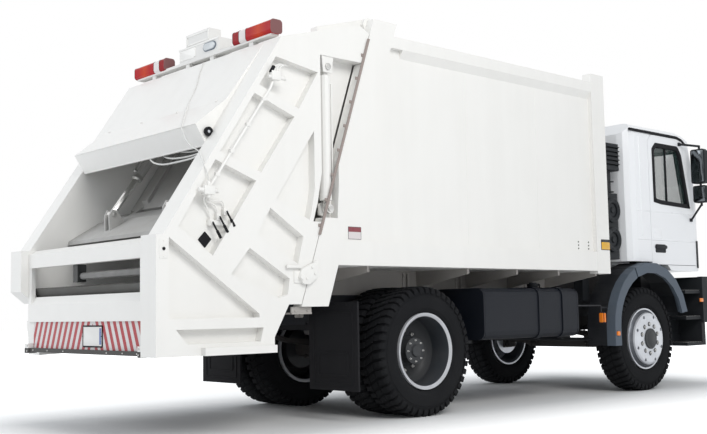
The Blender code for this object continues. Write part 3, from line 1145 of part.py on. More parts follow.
def interior():
    """Dashboard with its steering wheel, and two seats on one base."""
    front = CAB_FRONT - CAB_WALL - 0.02
    low = CAB_FLOOR + 0.06 + SEAT
    board = prism("X", [(front, 1.75), (front - 0.04, 2.10), (front - 0.16, 2.16), (front - 0.40, 2.08),
                        (front - 0.36, 1.80)],
                  (-CAB_HALF + DOOR_T + 0.06, CAB_HALF - DOOR_T - 0.06))
    legs = [box((x, x + 0.06), (front - 0.20, front - 0.02), (low, 1.82))
            for x in (0.17 - CAB_HALF, CAB_HALF - 0.23)]
    middle = Vector((-SEAT_X, front - 0.54, 2.145))
    column = rod((-SEAT_X, front - 0.31, 2.00), middle, 0.03, 10)
    turn = (Vector((0, -0.22, 0.14))).to_track_quat("X", "Z").to_matrix().to_4x4()
    wheel = turned([(-0.013, 0.20), (0.013, 0.20), (0.013, 0.225), (-0.013, 0.225)], (0, 0, 0), 16)
    bmesh.ops.transform(wheel, matrix=Matrix.Translation(middle) @ turn, verts=wheel.verts)
    spoke = box((-0.008, 0.008), (-0.21, 0.21), (-0.02, 0.02))
    bmesh.ops.transform(spoke, matrix=Matrix.Translation(middle) @ turn, verts=spoke.verts)
    place("dashboard", solid([board, column, wheel, spoke] + legs), "plastic_black", cab_origin())
    rear = CAB_REAR + 0.12
    seat_z = CAB_FLOOR + 0.46
    base = box((-SEAT_X - 0.31, SEAT_X + 0.31), (rear + 0.13, rear + 0.53), (low, seat_z - 0.16))
    shapes = [base]
    for x in (-SEAT_X, SEAT_X):
        shapes.append(box((x - 0.25, x + 0.25), (rear + 0.12, rear + 0.64), (seat_z - 0.18, seat_z)))
        shapes.append(prism("X", [(rear + 0.10, seat_z - 0.06), (rear + 0.26, seat_z - 0.06),
                                  (rear + 0.14, seat_z + 0.64), (rear, seat_z + 0.64)], (x - 0.24, x + 0.24)))
        shapes.append(box((x - 0.13, x + 0.13), (rear + 0.01, rear + 0.11), (seat_z + 0.62, seat_z + 0.82)))
    place("cab_seats", solid(shapes), "seat_cloth", cab_origin())


wheels()
axles()
knuckles()
chassis()
subframe()
engine()
fuel_tank()
battery_box()
air_intake()
bumper()
mudguards()
mudflaps()
body()
rear_frame()
ejector()
for side, sign in (("left", -1), ("right", 1)):
    place(f"tailgate_side_{side}", side_frame(sign), "body_white", (0, *HINGE))
tub()
rear_sill()
rear_board()
hood()
lamp_bar()
lift_cylinders()
carriage()
blade()
rams()
cab()
doors()
mirrors()
interior()
bpy.context.view_layer.update()
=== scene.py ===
# %% [markdown]
# # Dressing a rear-loading refuse truck
# The truck's solids come in packed and placed. This lesson gives them paint, rubber, glass and
# light, and adds what the solids leave plain: tread, wheel nuts, window rubbers, stripes, lamps,
# levers and hoses. Lengths are in metres, X is the truck's right, Y its front and Z is up.

import json
import math

import bmesh
import bpy
from mathutils import Matrix, Vector

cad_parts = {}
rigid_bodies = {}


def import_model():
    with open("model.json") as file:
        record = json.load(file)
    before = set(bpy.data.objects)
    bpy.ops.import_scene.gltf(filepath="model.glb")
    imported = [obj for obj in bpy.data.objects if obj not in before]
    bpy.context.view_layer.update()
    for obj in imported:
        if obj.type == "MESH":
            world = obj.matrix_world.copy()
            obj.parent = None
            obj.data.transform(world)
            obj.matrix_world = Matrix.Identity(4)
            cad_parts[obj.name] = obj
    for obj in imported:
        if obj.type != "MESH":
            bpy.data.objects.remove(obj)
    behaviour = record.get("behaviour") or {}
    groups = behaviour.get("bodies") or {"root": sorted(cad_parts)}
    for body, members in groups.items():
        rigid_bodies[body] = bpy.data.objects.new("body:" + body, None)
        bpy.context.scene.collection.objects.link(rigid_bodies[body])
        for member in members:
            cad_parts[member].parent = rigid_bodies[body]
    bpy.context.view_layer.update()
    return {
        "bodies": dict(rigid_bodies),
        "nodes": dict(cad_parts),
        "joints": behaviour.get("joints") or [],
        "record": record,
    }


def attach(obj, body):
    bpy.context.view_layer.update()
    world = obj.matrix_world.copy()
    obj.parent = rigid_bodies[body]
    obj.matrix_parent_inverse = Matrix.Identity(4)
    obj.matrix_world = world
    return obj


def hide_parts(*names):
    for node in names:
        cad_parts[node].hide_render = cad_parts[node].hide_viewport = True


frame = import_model()
nodes = frame["nodes"]
REAR_AXLE = -1.125
WHEELBASE = 3.70       # from the rear axle forward to the front one


def at(x, y, z):
    """A point whose y is measured forward from the rear axle."""
    return Vector((x, y + REAR_AXLE, z))


print("nodes:", len(nodes))

# %% [markdown]
# ## Where the photographer stood
# The body's long straight edges give the camera's place, turn and focal length. Three angles
# describe it: a turn about the vertical, a tilt up, and a small roll. The columns of a camera's
# matrix are its right, its up and the reverse of where it looks.

# %% Camera
TURN, TILT, ROLL = 0.8372, 0.0923, -0.0178
look = Vector((-math.sin(TURN) * math.cos(TILT), math.cos(TURN) * math.cos(TILT), math.sin(TILT)))
level = Vector((math.cos(TURN), math.sin(TURN), 0.0))
above = level.cross(look)
right = level * math.cos(ROLL) + above * math.sin(ROLL)
top = above * math.cos(ROLL) - level * math.sin(ROLL)
SENSOR = 36.0          # millimetres
FOCAL_PX = 1016.4      # focal length in the photograph's pixels
PHOTO_WIDTH = 707
lens_data = bpy.data.cameras.new("photo_camera")
lens_data.sensor_width = SENSOR
lens_data.lens = SENSOR * FOCAL_PX / PHOTO_WIDTH
lens_data.clip_end = 200.0
camera = bpy.data.objects.new("photo_camera", lens_data)
facing = Matrix((right, top, -look)).transposed().to_4x4()
camera.matrix_world = Matrix.Translation(at(7.7694, -6.8052, 0.9763)) @ facing
bpy.context.scene.collection.objects.link(camera)
bpy.context.scene.camera = camera
bpy.context.scene.view_settings.view_transform = "Standard"
print("lens:", round(lens_data.lens, 2), "mm")

# %% [markdown]
# ## Sums inside a material
# A material is a small machine of linked nodes, and its sums are hard to read as nodes. This class
# wraps one socket, so that `1 - mask * 0.5` adds the Math nodes by itself.

# %% Wire: a socket that takes part in sums


class Wire:
    def __init__(self, tree, socket):
        self.tree = tree
        self.socket = socket

    def math(self, operation, first, second=0.0):
        node = self.tree.nodes.new("ShaderNodeMath")
        node.operation = operation
        for socket, item in zip(node.inputs, (first, second)):
            plug(self.tree, item, socket)
        return Wire(self.tree, node.outputs[0])

    def __add__(self, other):
        return self.math("ADD", self, other)

    def __radd__(self, other):
        return self.math("ADD", other, self)

    def __sub__(self, other):
        return self.math("SUBTRACT", self, other)

    def __rsub__(self, other):
        return self.math("SUBTRACT", other, self)

    def __mul__(self, other):
        return self.math("MULTIPLY", self, other)

    def __rmul__(self, other):
        return self.math("MULTIPLY", other, self)

    def __truediv__(self, other):
        return self.math("DIVIDE", self, other)

    def __mod__(self, other):
        return self.math("FLOORED_MODULO", self, other)

    def __gt__(self, other):
        return self.math("GREATER_THAN", self, other)

    def __lt__(self, other):
        return self.math("LESS_THAN", self, other)

    def __abs__(self):
        return self.math("ABSOLUTE", self)

    def held(self):
        """The value kept between 0 and 1."""
        return self.math("MAXIMUM", self.math("MINIMUM", self, 1.0), 0.0)

    def within(self, low, high):
        """1 where the value lies between two limits, and 0 outside them."""
        return (self > low) * (self < high)


def plug(tree, item, socket):
    if isinstance(item, Wire):
        tree.links.new(item.socket, socket)
    elif isinstance(item, tuple) and len(item) == 3 and socket.type == "RGBA":
        socket.default_value = (*item, 1.0)
    else:
        socket.default_value = item


# %% [markdown]
# ## A material in the making
# Every finish on the truck is one Principled shader. Its colour, roughness and bump come from
# noise laid in Object coordinates, which are metres on the truck, so that a fleck has the same
# size on a mirror and on a side panel.

# %% Finish: one Principled material


class Finish:
    def __init__(self, name, **fixed):
        self.material = bpy.data.materials.new(name)
        self.material.use_nodes = True
        self.tree = self.material.node_tree
        self.shader = self.tree.nodes["Principled BSDF"]
        for socket, value in fixed.items():
            self.set(socket.replace("_", " "), value)
        self.place = self.add("ShaderNodeTexCoord", out="Object")
        parts = self.add("ShaderNodeSeparateXYZ", sockets={"Vector": self.place}, out=("X", "Y", "Z"))
        self.x, self.y, self.z = parts

    def add(self, kind, settings=None, sockets=None, out=0):
        """Adds a node: its settings first, then the values or links of its sockets."""
        node = self.tree.nodes.new(kind)
        for key, value in (settings or {}).items():
            if key == "stops":
                ramp = node.color_ramp
                while len(ramp.elements) < len(value):
                    ramp.elements.new(0.5)
                for stop, (position, colour) in zip(ramp.elements, value):
                    stop.position = position
                    stop.color = (*colour, 1.0)
            else:
                setattr(node, key, value)
        for key, value in (sockets or {}).items():
            plug(self.tree, value, node.inputs[key])
        if isinstance(out, tuple):
            return [Wire(self.tree, node.outputs[name]) for name in out]
        return Wire(self.tree, node.outputs[out])

    def set(self, socket, value):
        plug(self.tree, value, self.shader.inputs[socket])

    def noise(self, scale, detail=3.0, stretch=(1.0, 1.0, 1.0)):
        """Cloudy noise from 0 to 1. A stretch below 1 draws it out along that axis."""
        spot = self.add("ShaderNodeMapping", sockets={"Vector": self.place, "Scale": stretch})
        return self.add("ShaderNodeTexNoise", sockets={"Vector": spot, "Scale": scale, "Detail": detail})

    def blend(self, share, first, second):
        """A colour between two colours."""
        return self.add("ShaderNodeMix", {"data_type": "RGBA"}, {0: share, 6: first, 7: second}, out=2)

    def bump(self, height, depth, strength=1.0):
        made = self.add("ShaderNodeBump", sockets={"Height": height, "Distance": depth, "Strength": strength})
        self.set("Normal", made)


# %% [markdown]
# ## Paint
# Truck paint is sprayed: it has a faint orange-peel ripple, a clear gloss, and road film that is
# heaviest near the ground and runs down in streaks. One function makes every painted colour, and
# the amount of film, gloss and ripple tells them apart.

# %% Paint


def paint(name, colour, rough=0.4, coat=0.2, film=0.2, film_colour=(0.36, 0.33, 0.29), film_top=1.6, ripple=0.00025,
          shine=0.5):
    made = Finish(name, Coat_Weight=coat, Coat_Roughness=0.12, Specular_IOR_Level=shine)
    cloud = made.noise(1.6, 4.0)
    streak = made.noise(7.0, 3.0, stretch=(1.0, 1.0, 0.09))
    low = (1.0 - made.z / film_top).held()
    share = ((cloud + streak) * 0.9 - 0.75 + low * 0.7).held() * film
    made.set("Base Color", made.blend(share, colour, film_colour))
    made.set("Roughness", rough + cloud * 0.10 - 0.05 + share * 0.5)
    made.bump(made.noise(170.0, 1.0) + made.noise(3.0, 2.0) * 4.0, ripple)
    return made.material


body_paint = paint("body_paint", (0.85, 0.84, 0.815), rough=0.42, coat=0.15, film=0.10)
cab_paint = paint("cab_paint", (0.90, 0.91, 0.93), rough=0.28, coat=0.6, film=0.06, ripple=0.0001)
hopper_paint = paint("hopper_paint", (0.50, 0.50, 0.49), rough=0.55, coat=0.0, film=0.5,
                     film_colour=(0.30, 0.27, 0.24), film_top=3.2)
# The hopper tub is painted near black: painted shade for the dark slot behind the sill, with road film on top.
tub_painted_shade = paint("tub_painted_shade", (0.070, 0.075, 0.072), rough=0.5, coat=0.0, film=0.6,
                  film_colour=(0.10, 0.09, 0.08), film_top=3.2, ripple=0.0006)
frame_paint = paint("frame_paint", (0.012, 0.014, 0.019), rough=0.5, coat=0.05, film=0.25,
                    film_colour=(0.06, 0.055, 0.05), shine=0.3)
subframe_paint = paint("subframe_paint", (0.40, 0.38, 0.36), rough=0.5, coat=0.0, film=0.35,
                       film_colour=(0.22, 0.20, 0.18))
tank_paint = paint("tank_paint", (0.004, 0.006, 0.011), rough=0.5, coat=0.04, film=0.15,
                   film_colour=(0.035, 0.035, 0.037), ripple=0.0006, shine=0.2)
iron_coat = paint("iron_coat", (0.035, 0.035, 0.038), rough=0.65, coat=0.0, film=0.4,
                  film_colour=(0.12, 0.10, 0.08), ripple=0.0012)
silver_paint = paint("silver_paint", (0.60, 0.62, 0.66), rough=0.30, coat=0.4, film=0.12)
rim_dark_paint = paint("rim_dark_paint", (0.028, 0.033, 0.040), rough=0.5, coat=0.05, film=0.30,
                       film_colour=(0.10, 0.09, 0.08), shine=0.3)
print("paints made")

# %% [markdown]
# ## Moulded plastic and rubber
# Bumpers, mirrors and the air intake are grained plastic: a fine, even pebble that scatters light.
# Tyre rubber is darker and rougher, with dust rubbed into it where it meets the road.

# %% Plastic and rubber


def moulded(name, colour, rough=0.55, grain=0.0004, dust=0.15, shine=0.3):
    made = Finish(name, Specular_IOR_Level=shine)
    pebble = made.noise(420.0, 2.0)
    cloud = made.noise(2.5, 3.0)
    share = (cloud * 1.6 - 0.6 + (1.0 - made.z / 1.3).held() * 0.6).held() * dust
    made.set("Base Color", made.blend(share, colour, tuple(0.11 + c * 0.4 for c in colour)))
    made.set("Roughness", rough + pebble * 0.08 + share)
    made.bump(pebble, grain)
    return made.material


black_plastic = moulded("black_plastic", (0.010, 0.012, 0.015), dust=0.10, shine=0.25)
grey_plastic = moulded("grey_plastic", (0.16, 0.19, 0.23), rough=0.5)
soft_rubber = moulded("soft_rubber", (0.008, 0.008, 0.010), rough=0.7, grain=0.0002, dust=0.08, shine=0.2)
cap_plastic = moulded("cap_plastic", (0.20, 0.085, 0.085), rough=0.4)
tyre_rubber = moulded("tyre_rubber", (0.0065, 0.0070, 0.0085), rough=0.78, grain=0.0006, dust=0.10, shine=0.12)
white_hose = moulded("white_hose", (0.72, 0.72, 0.70), rough=0.5, grain=0.0001, dust=0.1)

# %% [markdown]
# ## Bright metal, glass and lenses
# A cylinder's rod is hard chrome, nearly a mirror with fine scratches round it. Cab glass is a thin
# tinted pane: clear enough to show the seats, with a sharp reflection.

# %% Metal, glass, lenses


def bright(name, colour=(0.78, 0.78, 0.77), rough=0.14, scratch=0.00005):
    made = Finish(name, Metallic=1.0)
    fine = made.noise(60.0, 2.0, stretch=(1.0, 1.0, 6.0))
    made.set("Base Color", made.blend(made.noise(3.0) * 0.3, colour, (0.45, 0.44, 0.42)))
    made.set("Roughness", rough + fine * 0.12)
    made.bump(fine, scratch)
    return made.material


def lens(name, colour, ridge=0.004):
    made = Finish(name, Coat_Weight=0.25, Coat_Roughness=0.05, Specular_IOR_Level=0.3)
    ribs = (made.x / 0.012) % 1.0
    made.set("Base Color", made.blend(made.noise(14.0) * 0.3, colour, tuple(c * 0.55 for c in colour)))
    made.set("Roughness", 0.18 + ribs * 0.08)
    made.bump(abs(ribs - 0.5), ridge * 0.2)
    return made.material


def pane(name, tint, clear=0.80):
    made = Finish(name, Roughness=0.03, Coat_Weight=0.5, Coat_Roughness=0.02)
    cloud = made.noise(1.2, 2.0)
    made.set("Base Color", made.blend(cloud, tint, tuple(c * 0.6 for c in tint)))
    made.set("Alpha", 1.0 - clear + cloud * 0.1)
    return made.material


chrome = bright("chrome")
zinc = bright("zinc", (0.55, 0.55, 0.54), rough=0.35, scratch=0.0002)
amber_lens = lens("amber_lens", (0.95, 0.25, 0.02))
clear_lens = lens("clear_lens", (0.66, 0.69, 0.71))
gold_lens = lens("gold_lens", (0.80, 0.44, 0.03))
cab_glass = pane("cab_glass", (0.06, 0.11, 0.10))
mirror_glass = bright("mirror_glass", (0.14, 0.16, 0.18), rough=0.05, scratch=0.0)
lamp_glass = pane("lamp_glass", (0.80, 0.82, 0.84), clear=0.75)
print("metals, lenses and glass made")

# %% [markdown]
# ## Finishes with a drawing in them
# The striped board and the lamp bar are each one solid, so their colours are drawn by place. On
# the board, a mirrored distance from the middle plus the height gives slanted stripes that meet in
# a peak. The end posts are white, and everything below the face is grey rubber. On the bar, bands
# along X make the lamps red, clear and dark red, and the housing between them white.

# %% Striped board and lamp bar
SILL_DEPTH = -2.812
STRIPE_PITCH = 0.096
STRIPE_MIDDLE = 0.15


def striped():
    made = Finish("striped_board", Coat_Weight=0.05, Coat_Roughness=0.1, Specular_IOR_Level=0.25)
    run = (abs(made.x - STRIPE_MIDDLE) + made.z * 0.42) / STRIPE_PITCH
    red = (run % 1.0) > 0.5
    slot_shade_and_stain = made.noise(5.0, 4.0)
    face = made.blend(red, (0.72, 0.70, 0.70), (0.40, 0.010, 0.024))
    face = made.blend(slot_shade_and_stain * 0.15, face, (0.45, 0.40, 0.36))
    rubber = made.z < 0.7001
    ends = abs(made.x) > 0.9499
    face = made.blend(ends, face, (0.82, 0.81, 0.79))
    made.set("Base Color", made.blend(rubber, face, (0.075, 0.073, 0.070)))
    made.set("Roughness", 0.32 + rubber * 0.4 + slot_shade_and_stain * 0.05)
    made.bump(slot_shade_and_stain, 0.0004)
    return made.material


def lamp_bands():
    made = Finish("lamp_bands", Coat_Weight=0.05, Coat_Roughness=0.08, Specular_IOR_Level=0.1)
    out = abs(made.x)
    lamp = (out > 0.5699) * (made.z > 3.3199)
    clear = out.within(0.66, 0.76)
    dark = out < 0.66
    ribs = (made.x / 0.014) % 1.0
    glow = made.add("ShaderNodeMapRange", sockets={0: abs(out - 0.94), 1: 0.0, 2: 0.12, 3: 1.0, 4: 0.0})
    colour = made.blend(glow * 0.8, (0.42, 0.010, 0.016), (0.58, 0.055, 0.010))
    colour = made.blend(clear, colour, (0.78, 0.74, 0.73))
    colour = made.blend(dark, colour, (0.30, 0.008, 0.014))
    made.set("Base Color", made.blend(lamp, (0.80, 0.79, 0.77), colour))
    made.set("Roughness", 0.40 - lamp * 0.22 + made.noise(30.0) * 0.05)
    made.bump(abs(ribs - 0.5) * lamp, 0.0008)
    return made.material


def cab_shell():
    """Glossy white outside, and dark, grained and rougher on every face inside the cab."""
    made = Finish("cab_shell_paint", Coat_Weight=0.4, Coat_Roughness=0.1, Specular_IOR_Level=0.4)
    ahead = made.y - REAR_AXLE
    walls = (abs(made.x) < 1.1199) * ahead.within(3.62, 4.80) * made.z.within(1.505, 3.04)
    ceiling = (abs(made.x) < 1.03) * ahead.within(3.64, 4.74) * made.z.within(3.0399, 3.118)
    inside = (walls + ceiling).held()
    cloud = made.noise(1.6, 4.0)
    film = (cloud * 0.9 - 0.4).held() * 0.08
    outer = made.blend(film, (0.90, 0.91, 0.93), (0.36, 0.33, 0.29))
    inside_dark = made.blend(cloud * 0.3, (0.030, 0.034, 0.040), (0.055, 0.058, 0.064))
    made.set("Base Color", made.blend(inside, outer, inside_dark))
    made.set("Roughness", 0.28 + inside * 0.4 + cloud * 0.06)
    made.bump(made.noise(170.0, 1.0) * (inside * 2.0 + 1.0), 0.0002)
    return made.material


def disc_finish():
    """The front disc: brushed silver, with the shade of the valley round it."""
    made = Finish("disc_paint", Metallic=0.55, Coat_Weight=0.2, Coat_Roughness=0.15)
    ahead = made.y - REAR_AXLE - WHEELBASE
    rise = made.z - AXLE_Z
    reach = made.x.math("SQRT", ahead * ahead + rise * rise)
    valley = reach.within(0.3015, 0.3345)
    wear = (made.noise(9.0, 3.0) * 1.5 - 0.5).held() * 0.3
    shade = made.blend(valley, (0.60, 0.62, 0.66), (0.10, 0.11, 0.13))
    made.set("Base Color", made.blend(wear, shade, (0.34, 0.33, 0.33)))
    made.set("Roughness", 0.34 + wear * 0.3)
    made.bump(made.noise(120.0, 1.0), 0.0002)
    return made.material


def upholstery():
    made = Finish("seat_cloth", Sheen_Weight=0.3)
    weave = ((made.x / 0.004) % 1.0 > 0.5) * 0.5 + ((made.z / 0.004) % 1.0 > 0.5) * 0.5
    made.set("Base Color", made.blend(weave, (0.018, 0.020, 0.026), (0.045, 0.048, 0.060)))
    made.set("Roughness", 0.85 + weave * 0.1)
    made.bump(weave, 0.0005)
    return made.material


def two_tone():
    """The mudguards: a blue-grey lip outside, and black within."""
    made = Finish("guard_plastic", Specular_IOR_Level=0.25)
    pebble = made.noise(380.0, 2.0)
    lip = abs(made.x) > 1.139
    dust = (made.noise(3.0, 3.0) * 1.4 - 0.6).held() * 0.25
    shell = made.blend(lip, (0.012, 0.013, 0.016), (0.090, 0.112, 0.142))
    made.set("Base Color", made.blend(dust, shell, (0.14, 0.14, 0.135)))
    made.set("Roughness", 0.5 + pebble * 0.08 + dust * 0.4)
    made.bump(pebble, 0.0004)
    return made.material


def sill_finish():
    """White outside, and painted shade, mottled by stains, for the dark slot on what lies behind the beam."""
    made = Finish("sill_paint", Coat_Weight=0.12, Coat_Roughness=0.12)
    off = made.y - REAR_AXLE
    deep = (off > SILL_DEPTH) * made.z.within(1.16, 1.4095) * (abs(made.x) < 0.935)
    stop = made.x.within(-0.25, -0.13)
    stain = (made.noise(6.0, 4.0) * 1.6 - 0.5).held()
    clean = made.blend(stain * 0.05, (0.85, 0.84, 0.815), (0.36, 0.33, 0.29))
    # Behind the beam the colour is painted shade for the dark slot, mottled darker by the stain noise.
    slot_shade_and_stain = made.blend(stain, (0.20, 0.20, 0.195), (0.07, 0.07, 0.066))
    slot_shade_and_stain = made.blend(stop, slot_shade_and_stain, (0.022, 0.024, 0.024))
    made.set("Base Color", made.blend(deep, clean, slot_shade_and_stain))
    made.set("Roughness", 0.42 + deep * 0.2 + stain * 0.05)
    made.bump(made.noise(170.0, 1.0) + stain * 2.0, 0.0003)
    return made.material


sill_paint = sill_finish()
cab_shell_paint = cab_shell()
board_finish = striped()
lamp_finish = lamp_bands()
guard_plastic = two_tone()
seat_cloth = upholstery()


def notice_finish():
    """A blank notice: a red band over a white field, with a dark edge."""
    made = Finish("blank_notice", Coat_Weight=0.2, Coat_Roughness=0.15)
    band = made.z > 1.664
    edge = 1.0 - (made.z.within(1.603, 1.705) * (made.y - REAR_AXLE).within(-0.946, -0.801))
    faded = made.noise(40.0, 2.0)
    face = made.blend(band, (0.70, 0.66, 0.67), (0.20, 0.010, 0.025))
    made.set("Base Color", made.blend(edge, made.blend(faded * 0.15, face, (0.5, 0.45, 0.43)), (0.05, 0.04, 0.06)))
    made.set("Roughness", 0.35 + faded * 0.1)
    return made.material


notice_paint = notice_finish()
plate_white = paint("plate_white", (0.80, 0.80, 0.78), rough=0.35, coat=0.3, film=0.15)
plate_blue = paint("plate_blue", (0.05, 0.12, 0.36), rough=0.35, coat=0.3, film=0.15)
seal_rubber = moulded("seal_rubber", (0.32, 0.27, 0.25), rough=0.7, grain=0.0002, dust=0.1)

# %% [markdown]
# ## Dressing the solids
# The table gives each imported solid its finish. Tyres, rims and seats are left out: finer pieces
# stand for them further down.

# %% Finish for every solid that shows
DRESS = (
    # (finish, words that begin the nodes' names)
    (body_paint, ("body_", "tailgate_side", "rear_hood", "lift_barrel")),
    (cab_shell_paint, ("cab_floor", "cab_back", "cab_front", "cab_roof", "door_")),
    (tub_painted_shade, ("hopper_tub",)),
    (sill_paint, ("rear_sill",)),
    (hopper_paint, ("ejector_plate", "packer_", "ram_barrel")),
    (frame_paint, ("chassis_frame", "battery_and_air_tanks")),
    (subframe_paint, ("subframe",)),
    (tank_paint, ("fuel_tank",)),
    (iron_coat, ("front_axle", "rear_axle", "knuckle", "engine_block")),
    (black_plastic, ("front_bumper", "air_intake", "mirror_", "dashboard")),
    (guard_plastic, ("front_mudguards", "cab_mudguard")),
    (soft_rubber, ("rear_mudflaps",)),
    (chrome, ("lift_rod", "ram_rod")),
    (cab_glass, ("windscreen",)),
    (board_finish, ("rear_board",)),
    (lamp_finish, ("rear_lamp_bar",)),
    (tyre_rubber, ("front_tyre", "rear_tyre")),
    (silver_paint, ("front_rim",)),
    (rim_dark_paint, ("rear_rims",)),
    (seat_cloth, ("cab_seats",)),
)
dressed = set()
for finish, starts in DRESS:
    for name, node in nodes.items():
        if name.startswith(starts) and name not in dressed:
            node.data.materials.clear()
            node.data.materials.append(finish)
            dressed.add(name)
print("dressed:", len(dressed), "bare:", sorted(set(nodes) - dressed))

# %% [markdown]
# ## Making a piece
# Most small parts are blocks, bars and turned shapes with softened edges. These helpers add one
# such shape to a bmesh, so a bracket with its bolts is built up in a few lines and kept as one
# piece, which then rides on the body that carries it.

# %% Helpers that add shapes to a bmesh


def soften(bm, edges, width, segments=2):
    bmesh.ops.bevel(bm, geom=edges, offset=width, segments=segments, profile=0.5, affect="EDGES",
                    material=-1, clamp_overlap=True)


def block(bm, low, high, edge=0.0):
    """A block between two corners, with softened edges."""
    low, high = Vector(low), Vector(high)
    made = bmesh.ops.create_cube(bm, size=1.0)["verts"]
    size = high - low
    fit = Matrix.Translation((low + high) / 2) @ Matrix.Diagonal((*size, 1.0))
    bmesh.ops.transform(bm, matrix=fit, verts=made)
    if edge:
        soften(bm, list({e for v in made for e in v.link_edges}), edge)


def bar(bm, start, end, radius, sides=16, edge=0.0, tip=None):
    """A round bar between two points. A tip radius makes it a taper."""
    start, end = Vector(start), Vector(end)
    made = bmesh.ops.create_cone(bm, cap_ends=True, segments=sides, radius1=radius,
                                 radius2=radius if tip is None else tip, depth=(end - start).length)["verts"]
    turn = (end - start).to_track_quat("Z", "Y").to_matrix().to_4x4()
    bmesh.ops.transform(bm, matrix=Matrix.Translation((start + end) / 2) @ turn, verts=made)
    if edge:
        rims = [e for e in {e for v in made for e in v.link_edges} if len(e.link_faces) == 2
                and max(len(f.verts) for f in e.link_faces) > 4]
        soften(bm, rims, edge)


def lathe(bm, profile, centre, steps=96):
    """Turns a profile of (distance along X, radius) points about X, through centre."""
    verts = [bm.verts.new((along, 0.0, radius)) for along, radius in profile]
    edges = [bm.edges.new(pair) for pair in zip(verts, verts[1:])]
    if profile[0][1] > 0 and profile[-1][1] > 0:
        edges.append(bm.edges.new((verts[-1], verts[0])))
    bmesh.ops.spin(bm, geom=verts + edges, cent=(0, 0, 0), axis=(1, 0, 0), angle=2 * math.pi,
                   steps=steps, use_merge=True)
    bmesh.ops.remove_doubles(bm, verts=bm.verts, dist=1e-6)
    bmesh.ops.translate(bm, verts=bm.verts, vec=centre)


def hexagon(bm, centre, axis, radius, height):
    """A nut or bolt head standing out along axis."""
    centre = Vector(centre)
    bar(bm, centre, centre + Vector(axis) * height, radius, sides=6, edge=radius * 0.12)


def joined(*parts):
    """Several bmeshes as one."""
    whole = parts[0]
    for part in parts[1:]:
        mesh = bpy.data.meshes.new("part")
        part.to_mesh(mesh)
        whole.from_mesh(mesh)
        bpy.data.meshes.remove(mesh)
    return whole


def keep(name, bm, finish, body, smooth=35, closed=True):
    """Turns a bmesh into a piece of the truck that rides on a body."""
    if closed:
        bmesh.ops.recalc_face_normals(bm, faces=bm.faces)
    mesh = bpy.data.meshes.new(name)
    bm.to_mesh(mesh)
    bm.free()
    piece = bpy.data.objects.new(name, mesh)
    bpy.context.scene.collection.objects.link(piece)
    mesh.materials.append(finish)
    if smooth:
        mesh.shade_smooth()
        mesh.set_sharp_from_angle(angle=math.radians(smooth))
    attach(piece, body)
    return piece


# %% [markdown]
# ## Plates, frames and tubes
# Window rubbers, plates and lenses are flat outlines with a thickness. The outline is drawn in two
# numbers, u and v, and a small function puts it on its wall, where w is how far it stands out. A
# frame is the same outline inset once, with its middle taken out. A tube is a curve made into a
# mesh, because a curve keeps its round section through a bend.

# %% Helpers for plates and tubes


def on_side(sign, x):
    """Puts (u, v) at (y, z) on an upright wall that faces out on one side."""
    return lambda u, v, w: at(sign * (x + w), u, v)


def on_back(y):
    """Puts (u, v) at (x, z) on a wall that faces the rear."""
    return lambda u, v, w: at(u, y - w, v)


def on_front(y):
    return lambda u, v, w: at(u, y + w, v)


def box_outline(low, high):
    return [(low[0], low[1]), (high[0], low[1]), (high[0], high[1]), (low[0], high[1])]


def slab(bm, outline, spot, thick, corner=0.0, edge=0.0, frame=0.0):
    """A plate of an outline: corners rounded, its middle taken out for a frame, then thickened."""
    part = bmesh.new()
    part.faces.new([part.verts.new(spot(u, v, 0.0)) for u, v in outline])
    if corner:
        bmesh.ops.bevel(part, geom=list(part.verts), offset=corner, segments=4, profile=0.5,
                        affect="VERTICES", material=-1)
    if frame:
        middle = list(part.faces)
        bmesh.ops.inset_region(part, faces=middle, thickness=frame, use_boundary=True, use_even_offset=True)
        bmesh.ops.delete(part, geom=middle, context="FACES")
    made = bmesh.ops.extrude_face_region(part, geom=list(part.faces))["geom"]
    moved = {item for item in made if isinstance(item, bmesh.types.BMVert)}
    bmesh.ops.translate(part, verts=list(moved), vec=spot(0, 0, thick) - spot(0, 0, 0))
    if edge:
        rim = [e for e in part.edges if set(e.verts) <= moved and e.calc_face_angle(0.0) > 0.6]
        soften(part, rim, edge)
    bmesh.ops.recalc_face_normals(part, faces=part.faces)
    joined(bm, part)
    part.free()


def bent(points, bend=0.05):
    """A path through points, with its corners rounded."""
    points = [Vector(point) for point in points]
    path = [points[0]]
    for before, here, after in zip(points, points[1:], points[2:]):
        reach = min(bend, (before - here).length * 0.45, (after - here).length * 0.45)
        enter = here + (before - here).normalized() * reach
        leave = here + (after - here).normalized() * reach
        for share in (0.0, 0.25, 0.5, 0.75, 1.0):
            path.append(enter.lerp(here, share).lerp(here.lerp(leave, share), share))
    return path + [points[-1]]


def strand(name, path, radius):
    """A curve of one open spline with a round section."""
    curve = bpy.data.curves.new(name, "CURVE")
    curve.dimensions = "3D"
    spline = curve.splines.new("POLY")
    spline.points.add(len(path) - 1)
    for point, spot in zip(spline.points, path):
        point.co = (*spot, 1.0)
    curve.bevel_depth = radius
    curve.bevel_resolution = 3
    curve.use_fill_caps = True
    made = bpy.data.objects.new(name, curve)
    bpy.context.scene.collection.objects.link(made)
    return made


def tube(bm, points, radius, bend=0.05):
    """A stiff tube with rounded bends."""
    made = strand("tube", bent(points, bend), radius)
    bpy.context.view_layer.update()
    mesh = bpy.data.meshes.new_from_object(made.evaluated_get(bpy.context.evaluated_depsgraph_get()))
    part = bmesh.new()
    part.from_mesh(mesh)
    bmesh.ops.remove_doubles(part, verts=part.verts, dist=1e-5)
    joined(bm, part)
    part.free()
    curve = made.data
    bpy.data.objects.remove(made)
    bpy.data.curves.remove(curve)
    bpy.data.meshes.remove(mesh)


